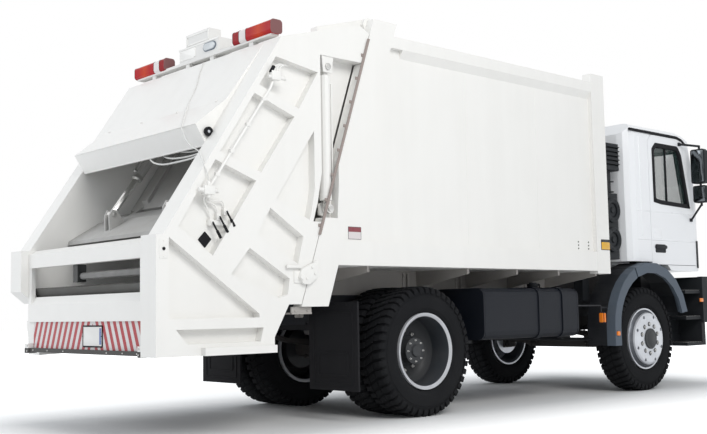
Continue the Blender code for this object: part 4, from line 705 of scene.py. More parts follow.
def bolts(bm, spots, axis, radius=0.009, height=0.007):
    for spot in spots:
        hexagon(bm, spot, axis, radius, height)


# %% [markdown]
# ## Tyres
# A drive tyre is a carcass, turned from one profile, with blocks of tread on its crown. The
# shoulder blocks wrap down the side, and the middle row is staggered between them. One block of
# each kind is modelled, then turned round the axle forty-six times.

# %% Tyres
TYRE_R, TYRE_HALF, TYRE_LUGS = 0.5975, 0.154, 46
AXLE_Z = 0.6 * math.cos(math.pi / 36)  # as the solid tyre of 36 facets stands on the ground
CARCASS = (
    (-0.118, 0.353), (-0.136, 0.372), (-0.147, 0.395), (-0.150, 0.398), (-0.1535, 0.430), (-0.1535, 0.470),
    (-0.150, 0.505), (-0.146, 0.508), (-0.141, 0.540), (-0.128, 0.566), (-0.10, 0.576), (0.0, 0.580),
    (0.10, 0.576), (0.128, 0.566), (0.141, 0.540), (0.146, 0.508), (0.150, 0.505), (0.1535, 0.470),
    (0.1535, 0.430), (0.150, 0.398), (0.147, 0.395), (0.136, 0.372), (0.118, 0.353),
)


def tread_block(bm, outline, length, lean):
    """One block: an outline of (along X, radius), as long as given round the tyre."""
    face = bm.faces.new([bm.verts.new((along, -length / 2 + lean * along, radius)) for along, radius in outline])
    made = bmesh.ops.extrude_face_region(bm, geom=[face])["geom"]
    moved = [item for item in made if isinstance(item, bmesh.types.BMVert)]
    bmesh.ops.translate(bm, verts=moved, vec=(0, length, 0))
    whole = list(face.verts) + moved
    soften(bm, list({e for v in whole for e in v.link_edges}), 0.003, 1)


def tyre(name, x, y, body, node):
    bm = bmesh.new()
    lathe(bm, CARCASS, (0, 0, 0), 120)
    shoulder = ((0.052, 0.572), (0.052, TYRE_R), (0.134, TYRE_R - 0.004), (TYRE_HALF, 0.568),
                (TYRE_HALF, 0.528), (0.136, 0.535))
    crown = ((-0.042, 0.574), (-0.042, TYRE_R), (0.042, TYRE_R), (0.042, 0.574))
    pitch = 2 * math.pi / TYRE_LUGS
    for number in range(TYRE_LUGS):
        for outline, lean, offset in ((shoulder, 0.18, 0.0), ([(-a, r) for a, r in shoulder], 0.18, 0.5),
                                      (crown, 0.5, 0.25)):
            lug = bmesh.new()
            tread_block(lug, outline, 0.051, lean)
            bmesh.ops.rotate(lug, verts=lug.verts, cent=(0, 0, 0),
                             matrix=Matrix.Rotation(pitch * (number + offset), 3, "X"))
            joined(bm, lug)
            lug.free()
    bmesh.ops.translate(bm, verts=bm.verts, vec=at(x, y, AXLE_Z))
    piece = keep(name, bm, tyre_rubber, body, smooth=28)
    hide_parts(node)


for side, sign in (("left", -1), ("right", 1)):
    tyre(f"front_tread_{side}", sign * 1.02, WHEELBASE, f"front_wheel_{side}", f"front_tyre_{side}")
    tyre(f"rear_tread_outer_{side}", sign * 1.045, 0.0, f"rear_wheels_{side}", f"rear_tyre_outer_{side}")
    tyre(f"rear_tread_inner_{side}", sign * 0.70, 0.0, f"rear_wheels_{side}", f"rear_tyre_inner_{side}")
print("tyres made")

# %% [markdown]
# ## Wheels
# The front rim shows its disc: a silver dish that bulges past the tyre, pierced by eight hand
# holes and bolted round a dark hub. The rear rim turns its hollow side out, so a bright flange
# frames a deep dark dish with the axle's hub inside.

# %% Front wheels


def nut_ring(bm, x, y, radius, count, sign, size=0.016, height=0.022, start=0.0):
    for number in range(count):
        turn = 2 * math.pi * (number + start) / count
        spot = at(x, y + radius * math.sin(turn), AXLE_Z + radius * math.cos(turn))
        hexagon(bm, spot, (sign, 0, 0), size, height)
        bar(bm, spot, spot + Vector((sign * (height + 0.012), 0, 0)), size * 0.5, 10)


def cut_holes(piece, cutters):
    """Takes the cutters away from a piece, and leaves a plain mesh."""
    mesh = bpy.data.meshes.new("cutters")
    cutters.to_mesh(mesh)
    tool = bpy.data.objects.new("cutters", mesh)
    bpy.context.scene.collection.objects.link(tool)
    boolean = piece.modifiers.new("holes", "BOOLEAN")
    boolean.operation = "DIFFERENCE"
    boolean.solver = "EXACT"
    boolean.object = tool
    bpy.context.view_layer.update()
    cut = bpy.data.meshes.new_from_object(piece.evaluated_get(bpy.context.evaluated_depsgraph_get()))
    piece.modifiers.clear()
    piece.data = cut
    bpy.data.objects.remove(tool)
    cut.shade_smooth()
    cut.set_sharp_from_angle(angle=math.radians(35))


disc_paint = disc_finish()
for side, sign in (("left", -1), ("right", 1)):
    body = f"front_wheel_{side}"
    profile = [(-0.110, 0.0), (-0.110, 0.204), (0.130, 0.204), (0.126, 0.300), (-0.120, 0.312),
               (-0.143, 0.330), (-0.143, 0.3515), (0.143, 0.3515), (0.143, 0.336), (0.132, 0.322),
               (0.150, 0.308), (0.188, 0.296), (0.198, 0.282), (0.200, 0.260), (0.200, 0.150),
               (0.206, 0.132), (0.206, 0.0)]
    rim = bmesh.new()
    lathe(rim, [(sign * a, r) for a, r in profile], at(sign * 1.02, WHEELBASE, AXLE_Z))
    piece = keep(f"front_disc_{side}", rim, disc_paint, body)
    cutters = bmesh.new()
    for number in range(8):
        turn = 2 * math.pi * (number + 0.5) / 8
        spot = at(sign * 1.02, WHEELBASE + 0.262 * math.sin(turn), AXLE_Z + 0.262 * math.cos(turn))
        bar(cutters, spot + Vector((sign * 0.14, 0, 0)), spot + Vector((sign * 0.25, 0, 0)), 0.019, 24)
    cut_holes(piece, cutters)
    cutters.free()
    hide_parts(f"front_rim_{side}")
    hub = bmesh.new()
    lathe(hub, [(sign * a, r) for a, r in ((0.199, 0.0), (0.199, 0.118), (0.219, 0.118), (0.224, 0.112),
                                           (0.224, 0.078), (0.228, 0.072), (0.228, 0.0))],
          at(sign * 1.02, WHEELBASE, AXLE_Z), 64)
    keep(f"front_hub_{side}", hub, rim_dark_paint, body)
    nuts = bmesh.new()
    nut_ring(nuts, sign * 1.219, WHEELBASE, 0.1675, 10, sign, size=0.017, height=0.010)
    keep(f"front_nuts_{side}", nuts, zinc, body)
    seats = bmesh.new()
    for number in range(10):
        turn = 2 * math.pi * number / 10
        spot = at(sign * 1.2195, WHEELBASE + 0.1675 * math.sin(turn), AXLE_Z + 0.1675 * math.cos(turn))
        bar(seats, spot, spot + Vector((sign * 0.0025, 0, 0)), 0.0265, 24, 0.0005)
    keep(f"nut_seats_{side}", seats, rim_dark_paint, body)

# %% Rear wheels


def ring_paint():
    """Silver on the flange that shows, and darker down in the barrel: a painted shade."""
    made = Finish("ring_paint", Coat_Weight=0.2, Coat_Roughness=0.15)
    off = made.y - REAR_AXLE
    rise = made.z - AXLE_Z
    flange = (off * off + rise * rise) > 0.3195 ** 2
    grime = (made.noise(5.0, 3.0) * 1.5 - 0.5).held() * 0.35
    # Inside radius 0.3195 the ring is near black: painted shade down in the barrel.
    shade = made.blend(flange, (0.040, 0.046, 0.055), (0.52, 0.53, 0.56))
    made.set("Base Color", made.blend(grime, shade, (0.12, 0.11, 0.10)))
    made.set("Roughness", 0.4 + grime * 0.4)
    made.bump(made.noise(140.0, 1.0), 0.0002)
    return made.material


rear_ring_paint = ring_paint()
for side, sign in (("left", -1), ("right", 1)):
    body = f"rear_wheels_{side}"
    middle = at(sign * 0.8725, 0.0, AXLE_Z)
    ring = bmesh.new()
    for way in (1, -1):
        one = bmesh.new()
        profile = [(0.0285, 0.3515), (0.3165, 0.3515), (0.3165, 0.338), (0.305, 0.320), (0.260, 0.312),
                   (0.100, 0.308), (0.0285, 0.330)]
        lathe(one, [(sign * way * a, r) for a, r in profile], middle)
        joined(ring, one)
        one.free()
    keep(f"rear_rings_{side}", ring, rear_ring_paint, body)
    dish = bmesh.new()
    lathe(dish, [(sign * a, r) for a, r in (
        (-0.012, 0.0), (-0.012, 0.225), (-0.05, 0.285), (-0.10, 0.306), (-0.09, 0.309), (0.0, 0.300), (0.09, 0.309),
        (0.10, 0.306), (0.055, 0.286), (0.016, 0.236), (0.012, 0.215), (0.012, 0.0))], middle)
    keep(f"rear_dish_{side}", dish, rim_dark_paint, body)
    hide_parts(f"rear_rims_{side}")
    hub = bmesh.new()
    lathe(hub, [(sign * a, r) for a, r in (
        (0.011, 0.0), (0.011, 0.150), (0.06, 0.146), (0.085, 0.120), (0.150, 0.112), (0.155, 0.122), (0.172, 0.122),
        (0.176, 0.112), (0.180, 0.060), (0.198, 0.052), (0.200, 0.0))], middle, 64)
    lathe_back = bmesh.new()
    lathe(lathe_back,
          [(sign * a, r) for a, r in ((-0.011, 0.0), (-0.011, 0.19), (-0.03, 0.204), (-0.238, 0.204), (-0.239, 0.0))],
          middle, 64)
    joined(hub, lathe_back)
    lathe_back.free()
    keep(f"rear_hub_{side}", hub, rim_dark_paint, body)
    nuts = bmesh.new()
    nut_ring(nuts, sign * (0.8725 + 0.012), 0.0, 0.185, 10, sign, size=0.018, height=0.020)
    nut_ring(nuts, sign * (0.8725 + 0.172), 0.0, 0.098, 8, sign, size=0.010, height=0.008)
    keep(f"rear_nuts_{side}", nuts, zinc, body)
print("wheels made")

# %% [markdown]
# ## The tailgate's small parts
# On the side sit a row of hand levers over a blank plate, their valve and pipes, a latch across
# the seam and a buffer on the hood's cheek. All of them ride on the tailgate, so each is built on
# the side plate's outer face or on the floor of one of its recesses.

# %% Levers, valve and pipes on the right side
FACE, RECESS = 1.25, 1.17
label = bmesh.new()
turned_square = [(-2.475, 1.545), (-2.412, 1.612), (-2.350, 1.552), (-2.412, 1.482)]
slab(label, turned_square, on_side(1, RECESS), 0.004, corner=0.006)
keep("lever_plate", label, soft_rubber, "tailgate")
valve = bmesh.new()
block(valve, at(RECESS, -2.395, 1.66), at(RECESS + 0.035, -2.215, 1.70), 0.004)
for number in range(3):
    y, z = -2.372 + 0.066 * number, 1.674 + 0.044 * number
    block(valve, at(RECESS, y - 0.018, z - 0.02), at(RECESS + 0.045, y + 0.018, z + 0.035), 0.004)
    bar(valve, at(RECESS + 0.045, y, z + 0.01), at(RECESS + 0.055, y, z + 0.01), 0.014, 16, 0.002)
block(valve, at(FACE, -2.495, 1.885), at(FACE + 0.055, -2.400, 1.955), 0.006)
bar(valve, at(FACE + 0.028, -2.520, 1.92), at(FACE + 0.028, -2.375, 1.92), 0.017, 20, 0.002)
bar(valve, at(FACE + 0.028, -2.445, 1.86), at(FACE + 0.028, -2.445, 1.99), 0.015, 20, 0.002)
hexagon(valve, at(FACE + 0.028, -2.375, 1.92), (0, 1, 0), 0.021, 0.016)
hexagon(valve, at(FACE + 0.028, -2.520, 1.92), (0, -1, 0), 0.021, 0.016)
block(valve, at(FACE, -1.835, 2.870), at(FACE + 0.05, -1.745, 2.945), 0.006)
bar(valve, at(FACE + 0.026, -1.86, 2.895), at(FACE + 0.026, -1.695, 2.895), 0.015, 20, 0.002)
hexagon(valve, at(FACE + 0.026, -1.695, 2.895), (0, 1, 0), 0.019, 0.014)
keep("valve_blocks", valve, body_paint, "tailgate")
pipes = bmesh.new()
line = FACE + 0.014
tube(pipes, (at(line, -1.80, 2.875), at(line, -1.83, 2.80), at(line, -2.40, 1.985), at(line, -2.43, 1.95)), 0.012)
for number in range(3):
    y, z = -2.372 + 0.066 * number, 1.710 + 0.044 * number
    tube(pipes, (at(RECESS + 0.025, y, z), at(RECESS + 0.03, y - 0.02, z + 0.06),
                 at(RECESS + 0.05, -2.455 + 0.02 * number, 1.845),
                 at(FACE + 0.025, -2.470 + 0.022 * number, 1.89)), 0.007, bend=0.04)
for number in range(3):
    tube(pipes, (at(FACE + 0.026, -1.80 + 0.025 * number, 2.94), at(FACE + 0.026, -1.79 + 0.025 * number, 2.985),
                 at(FACE + 0.02, -1.74 + 0.025 * number, 3.015), at(FACE + 0.001, -1.70 + 0.025 * number, 3.015)),
                 0.006, bend=0.02)
for share in (0.12, 0.4, 0.68, 0.92):
    y, z = -1.83 - 0.57 * share, 2.80 - 0.815 * share
    slab(pipes, box_outline((y - 0.02, z - 0.016), (y + 0.02, z + 0.016)), on_side(1, FACE), 0.030, 0.005, 0.003)
keep("side_pipes", pipes, body_paint, "tailgate")
levers = bmesh.new()
for foot_y, foot_z, top_y, top_z in ((-2.372, 1.684, -2.315, 1.559), (-2.306, 1.730, -2.250, 1.606),
                                     (-2.240, 1.775, -2.186, 1.655)):
    base = at(RECESS + 0.052, foot_y, foot_z)
    tip = at(RECESS + 0.080, top_y, top_z)
    bar(levers, base, tip, 0.0075, 14, 0.001)
    bar(levers, tip - (tip - base) * 0.45, tip + (tip - base) * 0.03, 0.0115, 16, 0.004)
bar(levers, at(FACE + 0.026, -1.835, 2.93), at(FACE + 0.026, -1.80, 2.985), 0.016, 20, 0.004)
keep("hand_levers", levers, soft_rubber, "tailgate")

# %% Post plate, buffer and latch
for side, sign in (("left", -1), ("right", 1)):
    plate = bmesh.new()
    slab(plate, box_outline((-2.865, 1.390), (-2.790, 1.535)), on_side(sign, FACE), 0.004, 0.006, 0.001)
    bolts(plate, [at(sign * (FACE + 0.004), -2.8275, z) for z in (1.405, 1.520)], (sign, 0, 0), 0.006, 0.004)
    keep(f"post_plate_{side}", plate, body_paint, "tailgate")
    button = bmesh.new()
    bar(button, at(sign * (FACE + 0.004), -2.8275, 1.462), at(sign * (FACE + 0.012), -2.8275, 1.462), 0.0125, 24,
        0.002)
    keep(f"post_button_{side}", button, soft_rubber, "tailgate")
    knob = bmesh.new()
    lathe(knob, [(sign * a, r) for a, r in ((0.0, 0.0), (0.0, 0.030), (0.010, 0.038), (0.030, 0.038), (0.036, 0.032),
                                            (0.036, 0.017),
                                            (0.022, 0.015), (0.022, 0.0))], at(sign * 1.0295, -2.290, 2.425), 32)
    keep(f"hood_buffer_{side}", knob, soft_rubber, "tailgate")
    core = bmesh.new()
    bar(core, at(sign * 1.051, -2.290, 2.425), at(sign * 1.058, -2.290, 2.425), 0.0135, 24, 0.002)
    keep(f"buffer_core_{side}", core, silver_paint, "tailgate")
    latch = bmesh.new()
    slab(latch, [(-1.565, 1.265), (-1.540, 1.325), (-1.365, 1.400), (-1.360, 1.270), (-1.455, 1.200),
                 (-1.520, 1.205)],
         on_side(sign, FACE + 0.006), 0.030, 0.012, 0.004)
    bar(latch, at(sign * (FACE + 0.002), -1.545, 1.262), at(sign * (FACE + 0.055), -1.545, 1.262), 0.020, 24, 0.003)
    block(latch, at(sign * (FACE + 0.022) - 0.010, -1.690, 1.335), at(sign * (FACE + 0.022) + 0.010, -1.535, 1.360),
          0.003)
    slab(latch, box_outline((-1.600, 1.215), (-1.500, 1.315)), on_side(sign, FACE), 0.012, 0.01, 0.002)
    bolts(latch, [at(sign * (FACE + 0.036), y, z) for y, z in ((-1.43, 1.345), (-1.40, 1.29), (-1.49, 1.25))],
          (sign, 0, 0), 0.012, 0.008)
    keep(f"seam_latch_{side}", latch, body_paint, "tailgate")
    seal = bmesh.new()
    foot, head = 1.62, 3.40
    slab(seal, [(-1.52 + (foot - 1.04) * 0.34025 - 0.012, foot), (-1.52 + (head - 1.04) * 0.34025 - 0.012, head),
                (-1.52 + (head - 1.04) * 0.34025 + 0.016, head), (-1.52 + (foot - 1.04) * 0.34025 + 0.016, foot)],
         on_side(sign, FACE + 0.0055), 0.008, 0.0, 0.003)
    for number in range(8):
        z = 1.70 + 0.22 * number
        y = -1.52 + (z - 1.04) * 0.34025 - 0.020
        block(seal, at(sign * (FACE + 0.0035) - 0.0045, y - 0.014, z - 0.014),
              at(sign * (FACE + 0.0035) + 0.0045, y + 0.014, z + 0.014), 0.002)
    keep(f"seam_rubber_{side}", seal, seal_rubber, "tailgate")
print("tailgate sides dressed")

# %% [markdown]
# ## Pins
# Every cylinder hangs on a pin. A pin that shows has a turned head and a small locking plate with
# one bolt, which stops it from turning with the eye.

# %% Pins of the lift cylinders and hinges
for side, sign in (("left", -1), ("right", 1)):
    for name, y, z, x, radius, body in (("top", -1.19, 3.08, 1.2408, 0.030, "tailgate"),
                                        ("foot", -1.17, 1.85, 1.2256, 0.024, f"{side}_lift_rod"),
                                        ("hinge", -0.62, 3.56, 1.2010, 0.0, "truck")):
        pin = bmesh.new()
        if radius:
            bar(pin, at(sign * x, y, z), at(sign * (x + 0.014), y, z), radius, 32, 0.003)
            bar(pin, at(sign * (x + 0.013), y, z), at(sign * (x + 0.018), y, z), radius * 0.45, 24, 0.001)
        else:
            bar(pin, at(sign * 1.1602, y, z), at(sign * 1.172, y, z), 0.032, 32, 0.003)
            hexagon(pin, at(sign * 1.172, y, z), (sign, 0, 0), 0.022, 0.014)
        keep(f"pin_{name}_{side}", pin, zinc, body)
    collar = bmesh.new()
    lathe_part = ((0.0, 0.029), (0.0, 0.0535), (0.05, 0.0535), (0.056, 0.048), (0.056, 0.029))
    ring = bmesh.new()
    lathe(ring, lathe_part, (0, 0, 0), 48)
    bmesh.ops.rotate(ring, verts=ring.verts, cent=(0, 0, 0), matrix=Matrix.Rotation(math.radians(90), 3, "Y"))
    bmesh.ops.translate(ring, verts=ring.verts, vec=at(sign * 1.19, -1.19, 1.975))
    joined(collar, ring)
    ring.free()
    tube(collar, (at(sign * 1.19, -1.145, 2.05), at(sign * 1.19, -1.110, 2.05), at(sign * 1.19, -1.110, 2.95),
                  at(sign * 1.19, -1.145, 2.95)), 0.009, 0.03)
    hexagon(collar, at(sign * 1.19, -1.138, 2.05), (0, 1, 0), 0.016, 0.014)
    hexagon(collar, at(sign * 1.19, -1.138, 2.95), (0, 1, 0), 0.016, 0.014)
    keep(f"lift_fittings_{side}", collar, body_paint, f"{side}_lift_barrel")
for side, sign in (("left", -1), ("right", 1)):
    top, foot = at(sign * 0.5, -1.58, 2.85), at(sign * 0.5, -2.30, 1.88)
    way = (foot - top).normalized()
    out = Vector((0, way.z, -way.y))
    fittings = bmesh.new()
    bar(fittings, top + way * 0.74, top + way * 0.785, 0.049, 40, 0.004)
    for along in (0.16, 0.72):
        bar(fittings, top + way * along + out * 0.040, top + way * along + out * 0.075, 0.013, 20, 0.002)
        hexagon(fittings, top + way * along + out * 0.060, out, 0.017, 0.014)
    tube(fittings, (top + way * 0.72 + out * 0.068, top + way * 0.66 + out * 0.074, top + way * 0.22 + out * 0.074,
                    top + way * 0.16 + out * 0.068), 0.009, 0.03)
    keep(f"ram_fittings_{side}", fittings, zinc, f"{side}_ram_barrel")
    heads = bmesh.new()
    for way_out in (-1, 1):
        bar(heads, at(sign * 0.5 + way_out * 0.0508, -2.30, 1.88), at(sign * 0.5 + way_out * 0.062, -2.30, 1.88),
            0.020, 24, 0.002)
    keep(f"ram_pin_{side}", heads, zinc, "blade")
print("pins and cylinder fittings made")

# %% [markdown]
# ## Lamps on the ridge
# Each long lamp is a moulded bar with a black end cap and thin black seams between its lenses. The
# box between them carries an oval work lamp, vents and the screws of its lid.

# %% Lamp bar details
SECTION = [(-1.7115, 3.3190), (-1.5885, 3.3190), (-1.5885, 3.4415), (-1.7115, 3.4415)]
for name, finish, places in (("lamp_caps", cap_plastic, ((1.1195, 1.124), (0.5655, 0.571))),
                             ("lamp_seams", soft_rubber, ((0.6590, 0.6610), (0.7590, 0.7610)))):
    plates = bmesh.new()
    for sign in (-1, 1):
        for near, far in places:
            slab(plates, SECTION, on_side(sign, near), far - near, 0.030)
    keep(name, plates, finish, "tailgate")
case = bmesh.new()
slab(case, box_outline((-0.33, 3.445), (0.33, 3.462)), on_back(-1.688), 0.006, 0.004, 0.002)
slab(case, box_outline((-0.215, 3.470), (0.155, 3.572)), on_back(-1.680), 0.006, 0.012, 0.003, frame=0.018)
slab(case, box_outline((-0.31, 3.345), (-0.05, 3.440)), on_back(-1.690), 0.005, 0.010, 0.002)
bolts(case, [at(x, -1.695, z) for x in (-0.295, -0.065) for z in (3.355, 3.430)], (0, -1, 0), 0.006, 0.004)
keep("lamp_box_lid", case, body_paint, "tailgate")
oval = bmesh.new()
slab(oval, [(0.115, 3.365), (0.255, 3.365), (0.285, 3.3975), (0.255, 3.430), (0.115, 3.430), (0.085, 3.3975)],
     on_back(-1.690), 0.016,
     0.018, 0.006)
keep("work_lamp", oval, clear_lens, "tailgate")
rim = bmesh.new()
slab(rim, [(0.108, 3.358), (0.262, 3.358), (0.294, 3.3975), (0.262, 3.437), (0.108, 3.437), (0.076, 3.3975)],
     on_back(-1.690), 0.010,
     0.018, 0.003, frame=0.008)
keep("work_lamp_rim", rim, grey_plastic, "tailgate")
print("lamp bar dressed")

# %% [markdown]
# ## Hood and back
# The hood's lip is folded over a rod, so its lower edge is round. The striped board carries a
# number plate: here it is blank, with a dark frame and a blue field at one end.

# %% Hood lip and number plate
hem = bmesh.new()
bar(hem, at(-1.028, -2.292, 2.322), at(1.028, -2.292, 2.322), 0.011, 16, 0.003)
bar(hem, at(-1.028, -2.398, 2.481), at(1.028, -2.398, 2.481), 0.006, 12, 0.002)
for x in (-0.9, -0.3, 0.3, 0.9):
    bolts(hem, [at(x, -2.110, 2.716)], Vector((0, -0.60, 0.80)), 0.010, 0.008)
keep("hood_hem", hem, body_paint, "tailgate")
plate = bmesh.new()
slab(plate, box_outline((-0.007, 0.728), (0.314, 0.890)), on_back(-2.8202), 0.004, 0.012, 0.001)
keep("number_plate", plate, plate_white, "tailgate")
holder = bmesh.new()
slab(holder, box_outline((-0.015, 0.720), (0.322, 0.898)), on_back(-2.8202), 0.006, 0.014, 0.002, frame=0.012)
bolts(holder, [at(x, -2.8262, 0.809) for x in (-0.009, 0.316)], (0, -1, 0), 0.005, 0.003)
keep("plate_holder", holder, soft_rubber, "tailgate")
field = bmesh.new()
slab(field, box_outline((0.272, 0.742), (0.302, 0.876)), on_back(-2.8242), 0.0015, 0.004)
keep("plate_field", field, plate_blue, "tailgate")
studs = bmesh.new()
for x in (-0.97, 0.97):
    bolts(studs, [at(x, -2.8705, z) for z in (0.675, 0.72)], (0, -1, 0), 0.008, 0.006)
for x in (-0.88, -0.6, -0.3, 0.45, 0.7, 0.92):
    bolts(studs, [at(x, -2.855, 0.6825)], (0, -1, 0), 0.007, 0.005)
keep("board_bolts", studs, zinc, "tailgate")
print("back dressed")

# %% [markdown]
# ## Along the body's side
# A notice near the rear is left blank: a red band over a white field. Six small black caps close
# tapped holes, and an amber reflector is glued to the front post. Under the floor, plates and bolts
# join the body's frame to the truck's rails.

# %% Notices, caps and reflectors
for side, sign in (("left", -1), ("right", 1)):
    notice = bmesh.new()
    slab(notice, box_outline((-0.950, 1.599), (-0.797, 1.709)), on_side(sign, 1.20), 0.0015, 0.004)
    keep(f"blank_notice_{side}", notice, notice_paint, "truck")
    caps = bmesh.new()
    for y in (2.405, 2.590):
        for z in (1.612, 1.648, 1.684):
            bar(caps, at(sign * 1.1995, y, z), at(sign * 1.203, y, z), 0.0085, 16, 0.001)
    keep(f"hole_caps_{side}", caps, soft_rubber, "truck")
    marker = bmesh.new()
    slab(marker, box_outline((2.762, 1.608), (2.915, 1.690)), on_side(sign, 1.2498), 0.007, 0.008, 0.002)
    keep(f"side_reflector_{side}", marker, gold_lens, "truck")
    backing = bmesh.new()
    slab(backing, box_outline((2.756, 1.602), (2.921, 1.720)), on_side(sign, 1.2496), 0.0035, 0.008, 0.001)
    bolts(backing, [at(sign * 1.2531, y, 1.705) for y in (2.775, 2.902)], (sign, 0, 0), 0.006, 0.004)
    keep(f"reflector_backing_{side}", backing, rim_dark_paint, "truck")
    seams = bmesh.new()
    for y in (0.62, 1.72):
        block(seams, at(sign * 1.2005 - 0.0015, y - 0.004, 1.60), at(sign * 1.2005 + 0.0015, y + 0.004, 3.28), 0.001)
    block(seams, at(sign * 1.2505 - 0.002, 2.676, 1.345), at(sign * 1.2505 + 0.002, 2.684, 3.47), 0.001)
    keep(f"panel_seams_{side}", seams, body_paint, "truck")

# %% Body mounts under the floor
for side, sign in (("left", -1), ("right", 1)):
    mounts = bmesh.new()
    for y in (-0.90, 0.50, 1.30, 2.45):
        for low, high in ((1.135, 1.355), (0.925, 1.115)):
            slab(mounts, box_outline((y - 0.050, low), (y + 0.050, high)), on_side(sign, 0.4403), 0.010, 0.014, 0.002)
            for off in (-0.03, 0.03):
                bolts(mounts, [at(sign * 0.4503, y + off, low + rise) for rise in (0.035, high - low - 0.035)],
                      (sign, 0, 0), 0.013, 0.010)
        bar(mounts, at(sign * 0.468, y, 0.94), at(sign * 0.468, y, 1.34), 0.010, 16, 0.001)
        hexagon(mounts, at(sign * 0.468, y, 1.155), (0, 0, -1), 0.018, 0.016)
        hexagon(mounts, at(sign * 0.468, y, 1.10), (0, 0, 1), 0.018, 0.016)
    keep(f"body_mounts_{side}", mounts, subframe_paint, "truck")
    rail_bolts = bmesh.new()
    for number in range(16):
        y = 0.95 + 0.115 * number
        bolts(rail_bolts, [at(sign * 0.4402, y, z) for z in (0.90, 1.09)], (sign, 0, 0), 0.010, 0.007)
    keep(f"rail_bolts_{side}", rail_bolts, frame_paint, "truck")
    foot = bmesh.new()
    block(foot, at(min(sign * 0.92, sign * 1.22), -1.600, 0.958), at(max(sign * 0.92, sign * 1.22), -1.385, 0.972),
          0.003)
    block(foot, at(min(sign * 1.20, sign * 1.215), -1.600, 0.958), at(max(sign * 1.20, sign * 1.215), -1.385, 1.0195),
          0.003)
    block(foot, at(min(sign * 1.145, sign * 1.21), -1.560, 0.965), at(max(sign * 1.145, sign * 1.21), -1.400, 1.0195),
          0.003)
    bolts(foot, [at(sign * 1.215, y, 0.985) for y in (-1.56, -1.43)], (sign, 0, 0), 0.010, 0.008)
    keep(f"rear_foot_{side}", foot, subframe_paint, "truck")
print("body side dressed")

# %% [markdown]
# ## Springs, brakes and flaps
# A truck's axle is clamped to its leaf springs with U-bolts, and each brake is worked by an air
# chamber, two dished halves held by a band. The mudflap is one rubber sheet with moulded ribs
# round a plain field.

# %% Springs, brake chambers and mudflaps
for side, sign in (("left", -1), ("right", 1)):
    clamps = bmesh.new()
    for y_axle, spring_top, low in ((WHEELBASE, 0.735, 0.505), (0.0, 0.800, 0.500)):
        for off in (-0.075, 0.075):
            tube(clamps, (at(sign * 0.366, y_axle + off, low), at(sign * 0.366, y_axle + off, spring_top + 0.012),
                          at(sign * 0.474, y_axle + off, spring_top + 0.012), at(sign * 0.474, y_axle + off, low)),
                          0.010, 0.03)
            for x in (0.366, 0.474):
                hexagon(clamps, at(sign * x, y_axle + off, low + 0.004), (0, 0, 1), 0.017, 0.016)
        slab(clamps, [(sign * 0.345, y_axle - 0.10), (sign * 0.495, y_axle - 0.10), (sign * 0.495, y_axle + 0.10),
                      (sign * 0.345, y_axle + 0.10)],
             lambda u, v, w: at(u, v, low + 0.018 + w), 0.016, 0.01, 0.003)
    keep(f"spring_clamps_{side}", clamps, iron_coat, "truck")
    chamber = bmesh.new()
    profile = ((0.0, 0.0), (0.0, 0.060), (0.020, 0.078), (0.070, 0.080), (0.073, 0.088), (0.083, 0.088),
               (0.086, 0.080), (0.150, 0.078),
               (0.170, 0.060), (0.170, 0.0))
    ring = bmesh.new()
    lathe(ring, profile, (0, 0, 0), 40)
    bmesh.ops.rotate(ring, verts=ring.verts, cent=(0, 0, 0), matrix=Matrix.Rotation(math.radians(-90), 3, "Z"))
    bmesh.ops.translate(ring, verts=ring.verts, vec=at(sign * 0.56, 0.33, 0.66))
    joined(chamber, ring)
    ring.free()
    bar(chamber, at(sign * 0.56, 0.17, 0.66), at(sign * 0.56, 0.06, 0.655), 0.014, 16, 0.002)
    tube(chamber, (at(sign * 0.56, 0.05, 0.655), at(sign * 0.56, 0.05, 0.60)), 0.020)
    bar(chamber, at(sign * 0.56, 0.045, 0.60), at(sign * 0.56, -0.005, 0.60), 0.016, 16, 0.002)
    tube(chamber,
         (at(sign * 0.56, 0.25, 0.735), at(sign * 0.56, 0.25, 0.80), at(sign * 0.45, 0.30, 0.885),
          at(sign * 0.43, 0.32, 0.885)), 0.008, 0.03)
    keep(f"brake_chamber_{side}", chamber, iron_coat, "truck")
    ribs = bmesh.new()
    for low, high in (((0.60, 0.33), (1.14, 0.98)), ((0.66, 0.40), (1.08, 0.62))):
        corners = [(sign * low[0], low[1]), (sign * high[0], low[1]), (sign * high[0], high[1]),
                   (sign * low[0], high[1])]
        slab(ribs, corners, on_back(-0.860), 0.006, 0.03, 0.002, frame=0.016)
    bolts(ribs, [at(sign * x, -0.861, 1.035) for x in (0.58, 0.74, 0.90, 1.06, 1.16)], (0, -1, 0), 0.010, 0.007)
    keep(f"flap_ribs_{side}", ribs, soft_rubber, "truck")
print("springs, brakes and flaps made")

# %% [markdown]
# ## Fuel tank and the parts beside it
# The tank is a folded sheet with rounded ends, held by two straps. On top sits the filler with its
# cap, and below it the drain plug. A thin guard rail runs forward to the mudguard with an amber
# marker lamp on its end.

# %% Tank fittings, guard rail and markers
fittings = bmesh.new()
bar(fittings, at(0.94, 1.92, 1.172), at(0.94, 1.92, 1.205), 0.052, 40, 0.004)
bar(fittings, at(0.94, 1.92, 1.204), at(0.94, 1.92, 1.235), 0.060, 12, 0.006)
block(fittings, at(0.925, 1.87, 1.232), at(0.955, 1.97, 1.246), 0.003)
bar(fittings, at(0.78, 2.24, 1.175), at(0.78, 2.24, 1.200), 0.028, 24, 0.003)
tube(fittings, (at(0.78, 2.24, 1.19), at(0.78, 2.24, 1.235), at(0.60, 2.30, 1.235), at(0.452, 2.33, 1.10)), 0.009,
     0.04)
for y in (1.70, 2.10):
    bar(fittings, at(0.86, y, 0.655), at(0.86, y, 0.672), 0.022, 6, 0.002)
    for x in (0.56, 1.16):
        bolts(fittings, [at(x, y, 0.6565)], (0, 0, -1), 0.011, 0.010)
keep("tank_fittings", fittings, black_plastic, "truck")
weld = bmesh.new()
